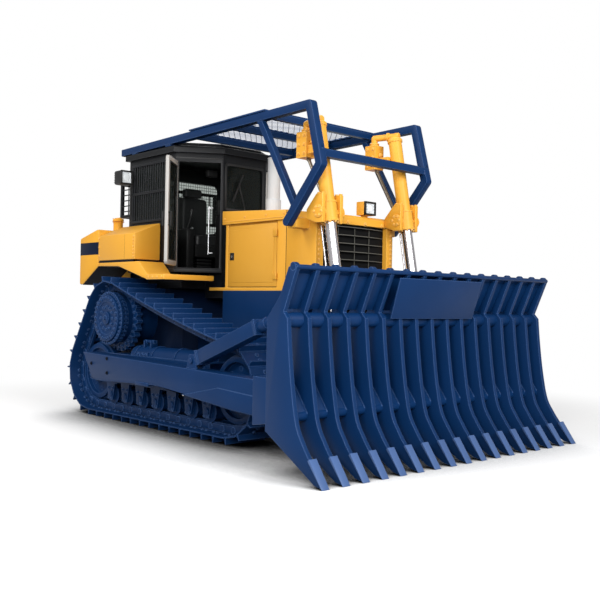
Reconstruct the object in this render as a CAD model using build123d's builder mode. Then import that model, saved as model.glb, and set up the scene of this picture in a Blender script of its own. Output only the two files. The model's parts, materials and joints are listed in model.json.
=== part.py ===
"""Elevated-sprocket crawler tractor with a forestry root rake, brush sweeps and an open-door cab.

Millimetres. +X is the way it drives, +Y its left side, +Z up. The origin is on the ground, under the
middle of the length and width. Stations along X are measured from the final-drive axle.
"""

from build123d import *
import math
import os

os.makedirs("parts", exist_ok=True)

# ---------------------------------------------------------------- driving dimensions
AXLE_X = -1890.0  # final-drive axle
AXLE_Z = 1310.0
TRACK_Y = 1041.5  # chain centre line
SHOE_WIDTH = 560.0
SHOE_PITCH = 216.0
SHOE_T = 16.0
GROUSER_H = 65.0
GROUSER_T = 14.0
LINK_H = 115.0
LINK_T = 46.0
LINK_Y = 85.0  # each link rail from the chain centre line
IDLER_LOOP_R = 500.0  # idler centre to the inner face of the shoes
TOP_SAG = 45.0
FRONT_IDLER_X = AXLE_X + 2640.0
IDLER_Z = IDLER_LOOP_R + SHOE_T + GROUSER_H
RUN_GAP = 0.4  # between a wheel's tread and the links it runs on

HUB_R = 326.0  # final-drive case
HUB_OUT_Y = TRACK_Y + 258.5
SPROCKET_W = 80.0
SPROCKET_ROOT_R = HUB_R + 72.0
SPROCKET_TIP_R = SPROCKET_ROOT_R + 38.0
SPROCKET_LOOP_R = SPROCKET_TIP_R + 48.0
SPROCKET_TEETH = 27

# idler, and where the rear one clears the toothed ring
CHORD_DROP = IDLER_LOOP_R - math.sqrt(IDLER_LOOP_R**2 - (SHOE_PITCH / 2) ** 2)
IDLER_R = IDLER_LOOP_R - CHORD_DROP - LINK_H - RUN_GAP - 2.0
IDLER_FLANGE = 26.0
WHEEL_GAP = 19.0  # between an idler and the ring, or an idler and a roller
RING_REACH = SPROCKET_TIP_R + IDLER_R + IDLER_FLANGE + WHEEL_GAP
REAR_IDLER_X = AXLE_X - math.sqrt(RING_REACH**2 - (AXLE_Z - IDLER_Z) ** 2)

FRAME_Y = 700.0  # half width of the case between the tracks
CASE_REAR_X = AXLE_X - 620.0
CASE_FRONT_X = AXLE_X + 900.0
CASE_Z0 = 640.0
CASE_Z1 = 1720.0
RAIL_IN_Y = 330.0
RAIL_OUT_Y = 450.0
RAIL_Z0 = 800.0
RAIL_Z1 = 1180.0
GUARD_FRONT_X = AXLE_X + 3310.0

PLATFORM_Z = 1880.0  # top of the step plates
PLATFORM_T = 65.0
SKIRT_Z = PLATFORM_Z - PLATFORM_T  # lowest edge of the fender's skirt
FLOOR_Z = 1925.0  # underside of the cab floor
FLOOR_T = 45.0
FENDER_OUT_Y = TRACK_Y + 208.5
TANK_REAR_X = AXLE_X - 850.0
TANK_SEAM_X = AXLE_X - 330.0
FENDER_FRONT_X = AXLE_X + 610.0
PLATFORM_REAR_X = AXLE_X + 900.0
PLATFORM_FRONT_X = AXLE_X + 1295.0
SHEET = 12.0

CAB_REAR_X = AXLE_X - 200.0
CAB_SIDE_Y = 860.0
FENDER_IN_Y = CAB_SIDE_Y + 10.0
CAB_CORNER_X = AXLE_X + 920.0  # where the side turns into the door plane
CAB_FRONT_X = AXLE_X + 1255.0
CAB_FRONT_Y = 354.0
CAB_WALL = 50.0
CAB_TOP_Z = 3455.0
ROOF_T = 85.0
ROOF_LIP = 45.0
ROOF_STEP = 75.0
ROOF_RISE = 60.0
DOOR_T = 40.0
DOOR_GAP = 8.0
DOOR_Z0 = 1990.0
DOOR_Z1 = 3330.0
DOOR_OPEN_DEG = 103.0

HOOD_REAR_X = AXLE_X + 1490.0
HOOD_Y = 500.0
HOOD_LIP = 28.0  # the hood top stands proud of the doors
HOOD_REAR_Z = 2685.0
HOOD_FRONT_Z = 2625.0
HOOD_LIP_Z = 2515.0
DOOR_TOP_Z = 2490.0
ENGINE_DOOR_Z0 = 1742.0
ENGINE_DOOR_REAR_X = AXLE_X + 1592.0
ENGINE_DOOR_FRONT_X = AXLE_X + 2520.0
SILL_Z0 = 1695.0  # underside of the yellow bodywork
SILL_REAR_X = AXLE_X + 1200.0
GUARD_REAR_X = AXLE_X + 2710.0
BEAM_Z0 = 2450.0  # the guard's top beam, which carries the lift cylinders
BEAM_Z1 = 2560.0
GUARD_Y = 620.0
ENGINE_DOOR_T = 25.0

PIVOT_X = AXLE_X + 320.0  # push-arm trunnion
PIVOT_Z = 720.0
ARM_IN_Y = TRACK_Y + 323.5
ARM_OUT_Y = TRACK_Y + 548.5
ARM_FRONT_X = AXLE_X + 3550.0
STRUT_X = AXLE_X + 2330.0  # the strut's lower pin
STRUT_Z = 902.0
STRUT_TOP_X = AXLE_X + 4080.0
STRUT_TOP_Z = 1545.0
STRUT_EYE_W = 80.0

TINES = 17
TINE_PITCH = 247.0
TINE_T = 45.0
TINE_REAR_X = AXLE_X + 4150.0
BEAM_REAR_X = TINE_REAR_X - 190.0
RAKE_Y = (TINES - 1) / 2 * TINE_PITCH
TOOTH_T = 90.0

CYL_Y = 620.0
YOKE_X = AXLE_X + 3500.0
YOKE_Z = 2530.0
EYE_X = AXLE_X + 3790.0
EYE_Z = 1020.0
BARREL_R = 77.0
BORE_R = 62.0
ROD_R = 61.0
BARREL_UP = 1000.0
BARREL_DOWN = 110.0
ROD_INSIDE = 200.0
TRUNNION_R = 40.0
PIN_GAP = 0.3
EYE_R = 95.0
EYE_W = 122.0
EYE_GAP = 8.0
EAR_T = 32.0

SWEEP_Y = 850.0
TUBE = 94.0
BRACE = 76.0
# side view of the sweeps: x, z of the tubes' centre lines
SWEEP = {
    "rear": (AXLE_X - 380, 3590),
    "top": (AXLE_X + 3440, 3652),
    "bend": (AXLE_X + 3610, 3008),
    "foot": (AXLE_X + 3110, 2432),
    "brace_top": (AXLE_X + 2600, 3630),
    "brace_foot": (AXLE_X + 3235, 2580),
    "bar": (AXLE_X + 3580, 3130),
}
SIDES = (("right", -1), ("left", 1))


# ---------------------------------------------------------------- helpers
def block(x0, x1, y0, y1, z0, z1, mode=Mode.ADD):
    """A box between two corners, given in any order of Y."""
    with Locations(((x0 + x1) / 2, (y0 + y1) / 2, (z0 + z1) / 2)):
        Box(abs(x1 - x0), abs(y1 - y0), abs(z1 - z0), mode=mode)


def side_plate(points, ya, yb, mode=Mode.ADD):
    """An outline of (x, z) points, extruded across Y."""
    low, high = min(ya, yb), max(ya, yb)
    with BuildSketch(Plane.XZ.offset(-high)) as profile:
        with BuildLine():
            Polyline(*points, close=True)
        make_face()
    extrude(profile.sketch, amount=high - low, mode=mode)


def plan_plate(points, z0, z1, mode=Mode.ADD):
    """An outline of (x, y) points, extruded up."""
    with BuildSketch(Plane.XY.offset(z0)) as profile:
        with BuildLine():
            Polyline(*points, close=True)
        make_face()
    extrude(profile.sketch, amount=z1 - z0, mode=mode)


def front_plate(points, x0, x1, mode=Mode.ADD):
    """An outline of (y, z) points, extruded forwards."""
    with BuildSketch(Plane.YZ.offset(x0)) as profile:
        with BuildLine():
            Polyline(*points, close=True)
        make_face()
    extrude(profile.sketch, amount=x1 - x0, mode=mode)


def disc(x, z, r, ya, yb, mode=Mode.ADD):
    """A round across Y."""
    low, high = min(ya, yb), max(ya, yb)
    with BuildSketch(Plane.XZ.offset(-high)) as profile:
        with Locations((x, z)):
            Circle(r)
    extrude(profile.sketch, amount=high - low, mode=mode)


def rod_between(p, q, r, mode=Mode.ADD):
    """A round bar from point p to point q."""
    run = Vector(*q) - Vector(*p)
    with BuildSketch(Plane(origin=p, z_dir=run)) as profile:
        Circle(r)
    extrude(profile.sketch, amount=run.length, mode=mode)


def beam_between(p, q, across, deep, mode=Mode.ADD):
    """A square-edged bar from p to q, `across` wide along Y and `deep` in the other direction."""
    run = Vector(*q) - Vector(*p)
    with BuildSketch(Plane(origin=p, x_dir=(0, 1, 0), z_dir=run)) as profile:
        Rectangle(across, deep)
    extrude(profile.sketch, amount=run.length, mode=mode)


def cross_bar(p, q, wide, deep, mode=Mode.ADD):
    """A square-edged bar that runs mostly along Y."""
    run = Vector(*q) - Vector(*p)
    with BuildSketch(Plane(origin=p, x_dir=(1, 0, 0), z_dir=run)) as profile:
        Rectangle(wide, deep)
    extrude(profile.sketch, amount=run.length, mode=mode)


def save(builder, name):
    builder.part.label = name
    export_step(builder.part, f"parts/{name}.step")


# ---------------------------------------------------------------- track loop
def tangent_angle(xa, za, ra, xb, zb, rb):
    """Angle of the outer normal of the belt line from wheel a to wheel b, travelled anticlockwise."""
    run = math.hypot(xb - xa, zb - za)
    heading = math.atan2(zb - za, xb - xa)
    return heading - math.acos((ra - rb) / run)


def track_path():
    """The closed belt line at the shoes' inner face: a dense list of (x, z), anticlockwise."""
    wheels = (
        (REAR_IDLER_X, IDLER_Z, IDLER_LOOP_R, 0.0),
        (FRONT_IDLER_X, IDLER_Z, IDLER_LOOP_R, TOP_SAG),
        (AXLE_X, AXLE_Z, SPROCKET_LOOP_R, 0.0),
    )
    path = []
    for i, (xa, za, ra, sag) in enumerate(wheels):
        xp, zp, rp, _ = wheels[i - 1]
        xb, zb, rb, _ = wheels[(i + 1) % 3]
        start = tangent_angle(xp, zp, rp, xa, za, ra)
        end = tangent_angle(xa, za, ra, xb, zb, rb)
        while end < start:
            end += 2 * math.pi
        for k in range(41):
            a = start + (end - start) * k / 40
            path.append((xa + ra * math.cos(a), za + ra * math.sin(a)))
        x0, z0 = path[-1]
        x1, z1 = xb + rb * math.cos(end), zb + rb * math.sin(end)
        for k in range(1, 60):
            t = k / 60
            path.append((x0 + (x1 - x0) * t, z0 + (z1 - z0) * t - 4 * sag * t * (1 - t)))
    return path


def track_joints():
    """The chain's pin places: equal steps along the belt line."""
    path = track_path()
    lengths = [0.0]
    for (xa, za), (xb, zb) in zip(path, path[1:] + path[:1]):
        lengths.append(lengths[-1] + math.hypot(xb - xa, zb - za))
    count = round(lengths[-1] / SHOE_PITCH)
    joints = []
    k = 0
    for i in range(count):
        s = lengths[-1] * i / count
        while lengths[k + 1] < s:
            k += 1
        t = (s - lengths[k]) / (lengths[k + 1] - lengths[k])
        xa, za = path[k]
        xb, zb = path[(k + 1) % len(path)]
        joints.append((xa + (xb - xa) * t, za + (zb - za) * t))
    return joints


def offset_loop(joints, out):
    """The joints moved outwards by `out`, along the mean of the two shoes' normals."""
    moved = []
    for i, (x, z) in enumerate(joints):
        xp, zp = joints[i - 1]
        xn, zn = joints[(i + 1) % len(joints)]
        run = math.hypot(xn - xp, zn - zp)
        moved.append((x + out * (zn - zp) / run, z - out * (xn - xp) / run))
    return moved


def shoe_outline(joints):
    """The outside of the track: each shoe's plate, with one grouser near its leading edge."""
    # along: share of the pitch, plus mm; out: mm from the belt line
    profile = (
        (0.00, 0.0, SHOE_T / 2),
        (0.00, 8.0, SHOE_T),
        (0.16, -GROUSER_T, SHOE_T),
        (0.16, -GROUSER_T / 2, SHOE_T + GROUSER_H),
        (0.16, GROUSER_T / 2, SHOE_T + GROUSER_H),
        (0.16, GROUSER_T, SHOE_T),
        (1.00, -8.0, SHOE_T),
    )
    outline = []
    for i, (xa, za) in enumerate(joints):
        xb, zb = joints[(i + 1) % len(joints)]
        run = math.hypot(xb - xa, zb - za)
        ux, uz = (xb - xa) / run, (zb - za) / run
        for share, extra, out in profile:
            along = share * run + extra
            outline.append((xa + ux * along + uz * out, za + uz * along - ux * out))
    return outline


JOINTS = track_joints()
for name, side in SIDES:
    with BuildPart() as track:
        low, high = side * TRACK_Y - SHOE_WIDTH / 2, side * TRACK_Y + SHOE_WIDTH / 2
        side_plate(shoe_outline(JOINTS), low, high)
        side_plate(JOINTS, low, high, Mode.SUBTRACT)
        for rail in (-1, 1):
            mid = side * TRACK_Y + rail * LINK_Y
            with BuildSketch(Plane.XZ.offset(-(mid + LINK_T / 2))):
                with BuildLine():
                    Polyline(*offset_loop(JOINTS, SHOE_T / 4), close=True)
                make_face()
                with BuildLine():
                    Polyline(*offset_loop(JOINTS, -LINK_H), close=True)
                make_face(mode=Mode.SUBTRACT)
            extrude(amount=LINK_T)
    save(track, f"track_{name}")


# ---------------------------------------------------------------- undercarriage
LINK_TOP_Z = GROUSER_H + SHOE_T + LINK_H  # what the rollers run on
ROLLER_R = 105.0
ROLLER_FLANGE = 20.0
ROLLER_SHAFT_R = 45.0
ROLLER_Z = LINK_TOP_Z + ROLLER_R + RUN_GAP
ROLLERS = 7
END_REACH = IDLER_R + IDLER_FLANGE + ROLLER_R + ROLLER_FLANGE + WHEEL_GAP
END_RUN = math.sqrt(END_REACH**2 - (IDLER_Z - ROLLER_Z) ** 2)  # along X, from an idler to the next roller
ROLLER_FIRST_X = REAR_IDLER_X + END_RUN
ROLLER_STEP = (FRONT_IDLER_X - END_RUN - ROLLER_FIRST_X) / (ROLLERS - 1)
CHAIN_OUT = LINK_Y + LINK_T / 2
FORK_IN = CHAIN_OUT + 30.0
FORK_T = 38.0
FRAME_HALF = FORK_IN + FORK_T
FRAME_Z0 = 470.0
FRAME_Z1 = 850.0
SHAFT_R = 55.0
IDLER_RIB = LINK_Y - LINK_T / 2 - 6.0  # half the width of the rib that runs between the links
IDLER_DISH = 60.0
BRACKET_TOP = 105.0
BRACKET_FOOT = 48.0
BRACKET_DROP = 70.0
FRAME_END = 40.0  # from an idler to the frame's box
FORK_REAR = 90.0
FORK_RISE = 110.0
FORK_RUN = 200.0
RECOIL_R = 140.0
TRUNNION_SHAFT_R = 75.0
TRUNNION_BOSS_R = 110.0

for name, side in SIDES:
    mid = side * TRACK_Y

    with BuildPart() as idlers:
        for x in (REAR_IDLER_X, FRONT_IDLER_X):
            disc(x, IDLER_Z, IDLER_R, mid - CHAIN_OUT, mid + CHAIN_OUT)
            disc(x, IDLER_Z, IDLER_R + IDLER_FLANGE, mid - IDLER_RIB, mid + IDLER_RIB)
            for face in (-1, 1):
                with BuildSketch(Plane.XZ.offset(-(mid + face * CHAIN_OUT))):
                    with Locations((x, IDLER_Z)):
                        Circle(IDLER_R - IDLER_DISH)
                        Circle(IDLER_R - 4 * IDLER_DISH + 19.0, mode=Mode.SUBTRACT)
                extrude(amount=face * IDLER_DISH, mode=Mode.SUBTRACT)
            disc(x, IDLER_Z, SHAFT_R, mid - FORK_IN + 0.3, mid + FORK_IN - 0.3)
    save(idlers, f"idlers_{name}")

    with BuildPart() as rollers:
        for i in range(ROLLERS):
            x = ROLLER_FIRST_X + i * ROLLER_STEP
            disc(x, ROLLER_Z, ROLLER_R, mid - CHAIN_OUT, mid + CHAIN_OUT)
            for face in (-1, 1):
                rim = mid + face * (CHAIN_OUT + 4)
                disc(x, ROLLER_Z, ROLLER_R + ROLLER_FLANGE, rim, rim + face * 16)
                disc(x, ROLLER_Z, 60.0, mid + face * CHAIN_OUT, rim + face * 16)
            disc(x, ROLLER_Z, ROLLER_SHAFT_R, mid - FORK_IN + 0.3, mid + FORK_IN - 0.3)
    save(rollers, f"rollers_{name}")

    with BuildPart() as frame:
        rear_x = REAR_IDLER_X + IDLER_R + FRAME_END
        front_x = FRONT_IDLER_X - IDLER_R - FRAME_END
        block(rear_x, front_x, mid - FRAME_HALF, mid + FRAME_HALF, FRAME_Z0, FRAME_Z1)
        # recoil housing on top
        rod_between((rear_x + 480, mid, FRAME_Z1 - 20), (front_x - 250, mid, FRAME_Z1 - 20), RECOIL_R)
        for face in (-1, 1):
            inner, outer = mid + face * FORK_IN, mid + face * FRAME_HALF
            # forks that hold the idlers
            for x, end_x, way in ((REAR_IDLER_X, rear_x, 1), (FRONT_IDLER_X, front_x, -1)):
                side_plate(
                    (
                        (x - way * FORK_REAR, IDLER_Z - FORK_RISE),
                        (end_x + way * FORK_RUN, FRAME_Z0 - 20),
                        (end_x + way * FORK_RUN, FRAME_Z1 - 60),
                        (x - way * FORK_REAR, IDLER_Z + FORK_RISE),
                    ),
                    inner,
                    outer,
                )
            # a bracket at each end of each roller
            for i in range(ROLLERS):
                x = ROLLER_FIRST_X + i * ROLLER_STEP
                side_plate(
                    (
                        (x - BRACKET_TOP, FRAME_Z0 + 5),
                        (x + BRACKET_TOP, FRAME_Z0 + 5),
                        (x + BRACKET_FOOT, ROLLER_Z - BRACKET_DROP),
                        (x - BRACKET_FOOT, ROLLER_Z - BRACKET_DROP),
                    ),
                    inner,
                    outer,
                )
        # push-arm trunnion
        disc(PIVOT_X, PIVOT_Z, TRUNNION_BOSS_R, side * (TRACK_Y + 100), side * (ARM_IN_Y - 40))
        disc(PIVOT_X, PIVOT_Z, TRUNNION_SHAFT_R, side * (TRACK_Y + 100), side * (ARM_OUT_Y - 90))
    save(frame, f"track_frame_{name}")

    with BuildPart() as sprocket:
        with BuildSketch(Plane.XZ.offset(-(mid + SPROCKET_W / 2))):
            with Locations((AXLE_X, AXLE_Z)):
                Circle(SPROCKET_ROOT_R)
            with BuildLine():
                points = []
                for i in range(SPROCKET_TEETH):
                    # turn within one tooth, radius
                    for share, r in ((0.0, SPROCKET_ROOT_R - 6), (0.3, SPROCKET_ROOT_R - 6)):
                        a = 2 * math.pi * (i + share) / SPROCKET_TEETH
                        points.append((AXLE_X + r * math.cos(a), AXLE_Z + r * math.sin(a)))
                    for share, r in ((0.5, SPROCKET_TIP_R), (0.8, SPROCKET_TIP_R)):
                        a = 2 * math.pi * (i + share) / SPROCKET_TEETH
                        points.append((AXLE_X + r * math.cos(a), AXLE_Z + r * math.sin(a)))
                Polyline(*points, close=True)
            make_face()
            with Locations((AXLE_X, AXLE_Z)):
                Circle(HUB_R, mode=Mode.SUBTRACT)
        extrude(amount=SPROCKET_W)
    save(sprocket, f"sprocket_{name}")

    with BuildPart() as hub:
        out = side * HUB_OUT_Y
        disc(AXLE_X, AXLE_Z, HUB_R, side * FRAME_Y, side * (HUB_OUT_Y - 60))
        disc(AXLE_X, AXLE_Z, HUB_R - 18, side * (HUB_OUT_Y - 60), out)
        disc(AXLE_X, AXLE_Z, HUB_R + 8, side * (HUB_OUT_Y - 150), side * (HUB_OUT_Y - 110))
        disc(AXLE_X, AXLE_Z, HUB_R - 110, side * (HUB_OUT_Y - 14), out, Mode.SUBTRACT)
    save(hub, f"final_drive_{name}")

# ---------------------------------------------------------------- chassis
PIVOT_SHAFT_R = 105.0
CHEEK = 30.0  # side plates under the engine doors
GUARD_WALL = 110.0
GRILLE_Z0 = RAIL_Z1 + 200.0
GRILLE_BACK = 160.0  # the straight part of the guard's walls, which holds the grille
with BuildPart() as case:
    side_plate(
        (
            (CASE_REAR_X, CASE_Z0 + 120),
            (CASE_REAR_X + 160, CASE_Z0),
            (CASE_FRONT_X, CASE_Z0),
            (CASE_FRONT_X, CASE_Z1 - 330),
            (CASE_FRONT_X - 320, CASE_Z1),
            (CASE_REAR_X, CASE_Z1),
        ),
        -FRAME_Y,
        FRAME_Y,
    )
    # pivot shafts out to the two track frames
    shaft_end = TRACK_Y - FRAME_HALF
    disc(PIVOT_X + 60, PIVOT_Z, PIVOT_SHAFT_R, -shaft_end, shaft_end)
save(case, "rear_case")

DRAWBAR_Z = 860.0  # top of the bar
DRAWBAR_T = 60.0
DRAWBAR_W = 150.0
DRAWBAR_PIN_X = CASE_REAR_X - 460.0
with BuildPart() as hitch:
    block(CASE_REAR_X - 240, CASE_REAR_X, -DRAWBAR_W, DRAWBAR_W, DRAWBAR_Z - 90, DRAWBAR_Z + 120)
    block(
        DRAWBAR_PIN_X - 66,
        CASE_REAR_X - 100,
        -DRAWBAR_W / 2,
        DRAWBAR_W / 2,
        DRAWBAR_Z - DRAWBAR_T,
        DRAWBAR_Z,
    )
    with Locations((DRAWBAR_PIN_X, 0, DRAWBAR_Z)):
        Hole(radius=25.0)
save(hitch, "drawbar")

with BuildPart() as chassis:
    rail_front_x = GUARD_FRONT_X - 120
    block(CASE_FRONT_X, rail_front_x, -RAIL_IN_Y, RAIL_IN_Y, RAIL_Z0, RAIL_Z0 + 25)
    block(GUARD_FRONT_X - 320, rail_front_x, -RAIL_IN_Y, RAIL_IN_Y, RAIL_Z0 + 25, RAIL_Z1)
    for side in (-1, 1):
        block(CASE_FRONT_X, rail_front_x, side * RAIL_IN_Y, side * RAIL_OUT_Y, RAIL_Z0, RAIL_Z1)
        # side plates under the engine doors, and the foot of the radiator guard
        block(HOOD_REAR_X, GUARD_REAR_X, side * (HOOD_Y - CHEEK), side * HOOD_Y, RAIL_Z1 - CHEEK, SILL_Z0)
        block(HOOD_REAR_X, GUARD_REAR_X, side * RAIL_OUT_Y, side * HOOD_Y, RAIL_Z1 - CHEEK, RAIL_Z1)
        plan_plate(
            (
                (GUARD_REAR_X, side * (HOOD_Y + HOOD_LIP)),
                (GUARD_FRONT_X, side * GUARD_Y),
                (GUARD_FRONT_X, side * (GUARD_Y - GUARD_WALL)),
                (GUARD_FRONT_X - GRILLE_BACK, side * (GUARD_Y - GUARD_WALL)),
                (GUARD_REAR_X, side * RAIL_OUT_Y),
            ),
            RAIL_Z0 + 60,
            SILL_Z0,
        )
    foot_y = GUARD_Y - GUARD_WALL
    block(GUARD_REAR_X + 60, GUARD_FRONT_X, -foot_y, foot_y, RAIL_Z1, GRILLE_Z0)
    # equaliser bar out to the two track frames
    block(AXLE_X + 2120, AXLE_X + 2300, -(TRACK_Y - FRAME_HALF), TRACK_Y - FRAME_HALF, 640, RAIL_Z0)
save(chassis, "main_frame")

with BuildPart() as engine:
    block(HOOD_REAR_X + 70, GUARD_REAR_X - 40, -RAIL_IN_Y - 60, RAIL_IN_Y + 60, RAIL_Z1, DOOR_TOP_Z - 70)
save(engine, "engine_block")

# ---------------------------------------------------------------- tank, fenders, platforms
TANK_Z0 = 1760.0
TANK_REAR_Z = 2400.0
TANK_TOP_Z = 2505.0
TANK_FLAT = 60.0
TANK_TUCK = 90.0
TANK_SIDE_Y = TRACK_Y - SHOE_WIDTH / 2 - 11.5
ARCH_Z = 2005.0  # the arch over the track
FENDER_Z0 = 2078.0
FENDER_RIM_Z = 2412.0  # outer edge of the sloping top
FENDER_TOP_Z = 2565.0
NECK_X = AXLE_X - 490.0
NECK_Y = 860.0
NECK_R = 66.0
NECK_Z = 2690.0
with BuildPart() as tank:
    # side view of the middle, and of the parts over the tracks
    top = (
        (TANK_SEAM_X, TANK_TOP_Z),
        (TANK_SEAM_X - TANK_FLAT, TANK_TOP_Z),
        (TANK_REAR_X, TANK_REAR_Z),
        (TANK_REAR_X, TANK_Z0),
    )
    side_plate(((TANK_SEAM_X, TANK_Z0), *top), -TANK_SIDE_Y, TANK_SIDE_Y)
    for side in (-1, 1):
        side_plate(
            ((TANK_SEAM_X, ARCH_Z), *top, (TANK_REAR_X + TANK_TUCK, TANK_Z0)),
            side * TANK_SIDE_Y,
            side * FENDER_OUT_Y,
        )
    # filler neck and its cap
    rod_between((NECK_X, -NECK_Y, TANK_REAR_Z), (NECK_X, -NECK_Y, NECK_Z - 45), NECK_R)
    rod_between((NECK_X, -NECK_Y, NECK_Z - 45), (NECK_X, -NECK_Y, NECK_Z), NECK_R + 12)
save(tank, "fuel_tank")

for name, side in SIDES:
    with BuildPart() as fender:
        # box beside the cab, its top sloping up towards the cab
        front_plate(
            (
                (side * FENDER_IN_Y, FENDER_Z0),
                (side * FENDER_OUT_Y, FENDER_Z0),
                (side * FENDER_OUT_Y, FENDER_RIM_Z),
                (side * FENDER_IN_Y, FENDER_TOP_Z),
            ),
            TANK_SEAM_X,
            FENDER_FRONT_X,
        )
        # skirt below it, over the track
        side_plate(
            (
                (TANK_SEAM_X, ARCH_Z),
                (AXLE_X + 197, ARCH_Z - 12),
                (PLATFORM_REAR_X, SKIRT_Z),
                (PLATFORM_REAR_X, PLATFORM_Z),
                (FENDER_FRONT_X + 90, ARCH_Z + 45),
                (TANK_SEAM_X, ARCH_Z + 45),
            ),
            side * FENDER_IN_Y,
            side * (FENDER_OUT_Y - 8),
        )
        # dark gap between the two
        block(
            TANK_SEAM_X,
            FENDER_FRONT_X - 40,
            side * FENDER_IN_Y,
            side * (FENDER_OUT_Y - 40),
            ARCH_Z + 40,
            FENDER_Z0 + 5,
        )
    save(fender, f"fender_{name}")

    with BuildPart() as platform:
        block(PLATFORM_REAR_X, PLATFORM_FRONT_X, side * HOOD_Y, side * FENDER_OUT_Y, SKIRT_Z, PLATFORM_Z)
    save(platform, f"platform_{name}")

# ---------------------------------------------------------------- cab
BASE_FRONT_Y = 320.0
REAR_WINDOW = (2910.0, 1240.0, 720.0, 90.0)  # middle height, width, height, corner
SIDE_WINDOW = (2990.0, 880.0, 740.0, 60.0)
SIDE_WINDOW_X = CAB_REAR_X + 560.0
WINDSCREEN = (3040.0, 600.0, 560.0, 70.0)
with BuildPart() as base:
    block(TANK_SEAM_X, CAB_CORNER_X - 60, -FRAME_Y, FRAME_Y, CASE_Z1, FLOOR_Z)
    block(CAB_CORNER_X - 60, CAB_FRONT_X, -BASE_FRONT_Y, BASE_FRONT_Y, CASE_Z1 - 120, FLOOR_Z)
save(base, "cab_base")


def cab_plan(inset):
    """The cab's outline seen from above, moved in by `inset`."""
    lean = math.hypot(CAB_FRONT_X - CAB_CORNER_X, CAB_SIDE_Y - CAB_FRONT_Y)
    run = (CAB_FRONT_X - CAB_CORNER_X) / lean
    drop = (CAB_SIDE_Y - CAB_FRONT_Y) / lean
    corner = CAB_CORNER_X - inset * (1 - run) / drop
    front = CAB_FRONT_Y - inset * (1 - drop) / run
    half = [
        (CAB_REAR_X + inset, CAB_SIDE_Y - inset),
        (corner, CAB_SIDE_Y - inset),
        (CAB_FRONT_X - inset, front),
    ]
    return half + [(x, -y) for x, y in reversed(half)]


with BuildPart() as floor:
    plan_plate(cab_plan(0.0), FLOOR_Z, FLOOR_Z + FLOOR_T)
save(floor, "cab_floor")

POST_Z0 = FLOOR_Z + FLOOR_T
with BuildPart() as posts:
    plan_plate(cab_plan(0.0), POST_Z0, CAB_TOP_Z)
    plan_plate(cab_plan(CAB_WALL), POST_Z0, CAB_TOP_Z, Mode.SUBTRACT)
    # rear window
    with BuildSketch(Plane.YZ.offset(CAB_REAR_X - 10)):
        with Locations((0, REAR_WINDOW[0])):
            RectangleRounded(*REAR_WINDOW[1:])
    extrude(amount=CAB_WALL + 20, mode=Mode.SUBTRACT)
    # side windows
    with BuildSketch(Plane.XZ.offset(-CAB_SIDE_Y - 10)):
        with Locations((SIDE_WINDOW_X, SIDE_WINDOW[0])):
            RectangleRounded(*SIDE_WINDOW[1:])
    extrude(amount=2 * CAB_SIDE_Y + 20, mode=Mode.SUBTRACT)
    # windscreen
    with BuildSketch(Plane.YZ.offset(CAB_FRONT_X - CAB_WALL - 10)):
        with Locations((0, WINDSCREEN[0])):
            RectangleRounded(*WINDSCREEN[1:])
    extrude(amount=CAB_WALL + 20, mode=Mode.SUBTRACT)
    # doorways
    for side in (-1, 1):
        hinge = Vector(CAB_CORNER_X, side * CAB_SIDE_Y, 0)
        latch = Vector(CAB_FRONT_X, side * CAB_FRONT_Y, 0)
        along = (latch - hinge).normalized()
        width = (latch - hinge).length
        p = hinge + along * 45
        q = hinge + along * (width - 30)
        n = Vector(-along.Y, along.X, 0) * 90
        plan_plate(
            [((p - n).X, (p - n).Y), ((q - n).X, (q - n).Y), ((q + n).X, (q + n).Y), ((p + n).X, (p + n).Y)],
            DOOR_Z0 - DOOR_GAP,
            DOOR_Z1 + DOOR_GAP,
            Mode.SUBTRACT,
        )
save(posts, "cab_body")

with BuildPart() as roof:
    plan_plate(cab_plan(-ROOF_LIP), CAB_TOP_Z, CAB_TOP_Z + ROOF_T)
    fillet(roof.faces().sort_by(Axis.Z)[-1].edges(), radius=30)
    # raised middle, between the sweeps' rails
    plan_plate(cab_plan(ROOF_STEP), CAB_TOP_Z + ROOF_T, CAB_TOP_Z + ROOF_T + ROOF_RISE)
    fillet(roof.faces().sort_by(Axis.Z)[-1].edges(), radius=25)
save(roof, "cab_roof")

with BuildPart() as cowl:
    block(CAB_FRONT_X, HOOD_REAR_X, -CAB_FRONT_Y, CAB_FRONT_Y, CASE_Z1, HOOD_REAR_Z - 15)
save(cowl, "cab_cowl")

SEAT_X = CAB_REAR_X + 250.0  # rear edge of the cushion
SEAT_D = 450.0
SEAT_W = 440.0
SEAT_Z0 = POST_Z0 + 180.0
SEAT_Z1 = POST_Z0 + 480.0
BACKREST_H = 670.0
with BuildPart() as seat:
    block(SEAT_X, SEAT_X + SEAT_D, -SEAT_W / 2, SEAT_W / 2, SEAT_Z0, SEAT_Z1)
    half = SEAT_W / 2 - 10
    block(SEAT_X - 50, SEAT_X + 50, -half, half, SEAT_Z1, SEAT_Z1 + BACKREST_H)
    block(SEAT_X + 50, SEAT_X + SEAT_D - 80, -120, 120, POST_Z0, SEAT_Z0)
save(seat, "seat")

DASH_D = 250.0
DASH_Y = 240.0
DASH_H = 720.0
ARMREST_Y = 300.0
ARMREST_H = 560.0
with BuildPart() as console:
    dash_x = CAB_FRONT_X - CAB_WALL - 4
    block(dash_x - DASH_D, dash_x, -DASH_Y, DASH_Y, POST_Z0, POST_Z0 + DASH_H)
    for side in (-1, 1):
        inner, outer = side * ARMREST_Y, side * (ARMREST_Y + 120)
        block(SEAT_X + 10, SEAT_X + 510, inner, outer, POST_Z0, POST_Z0 + ARMREST_H)
save(console, "consoles")


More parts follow.
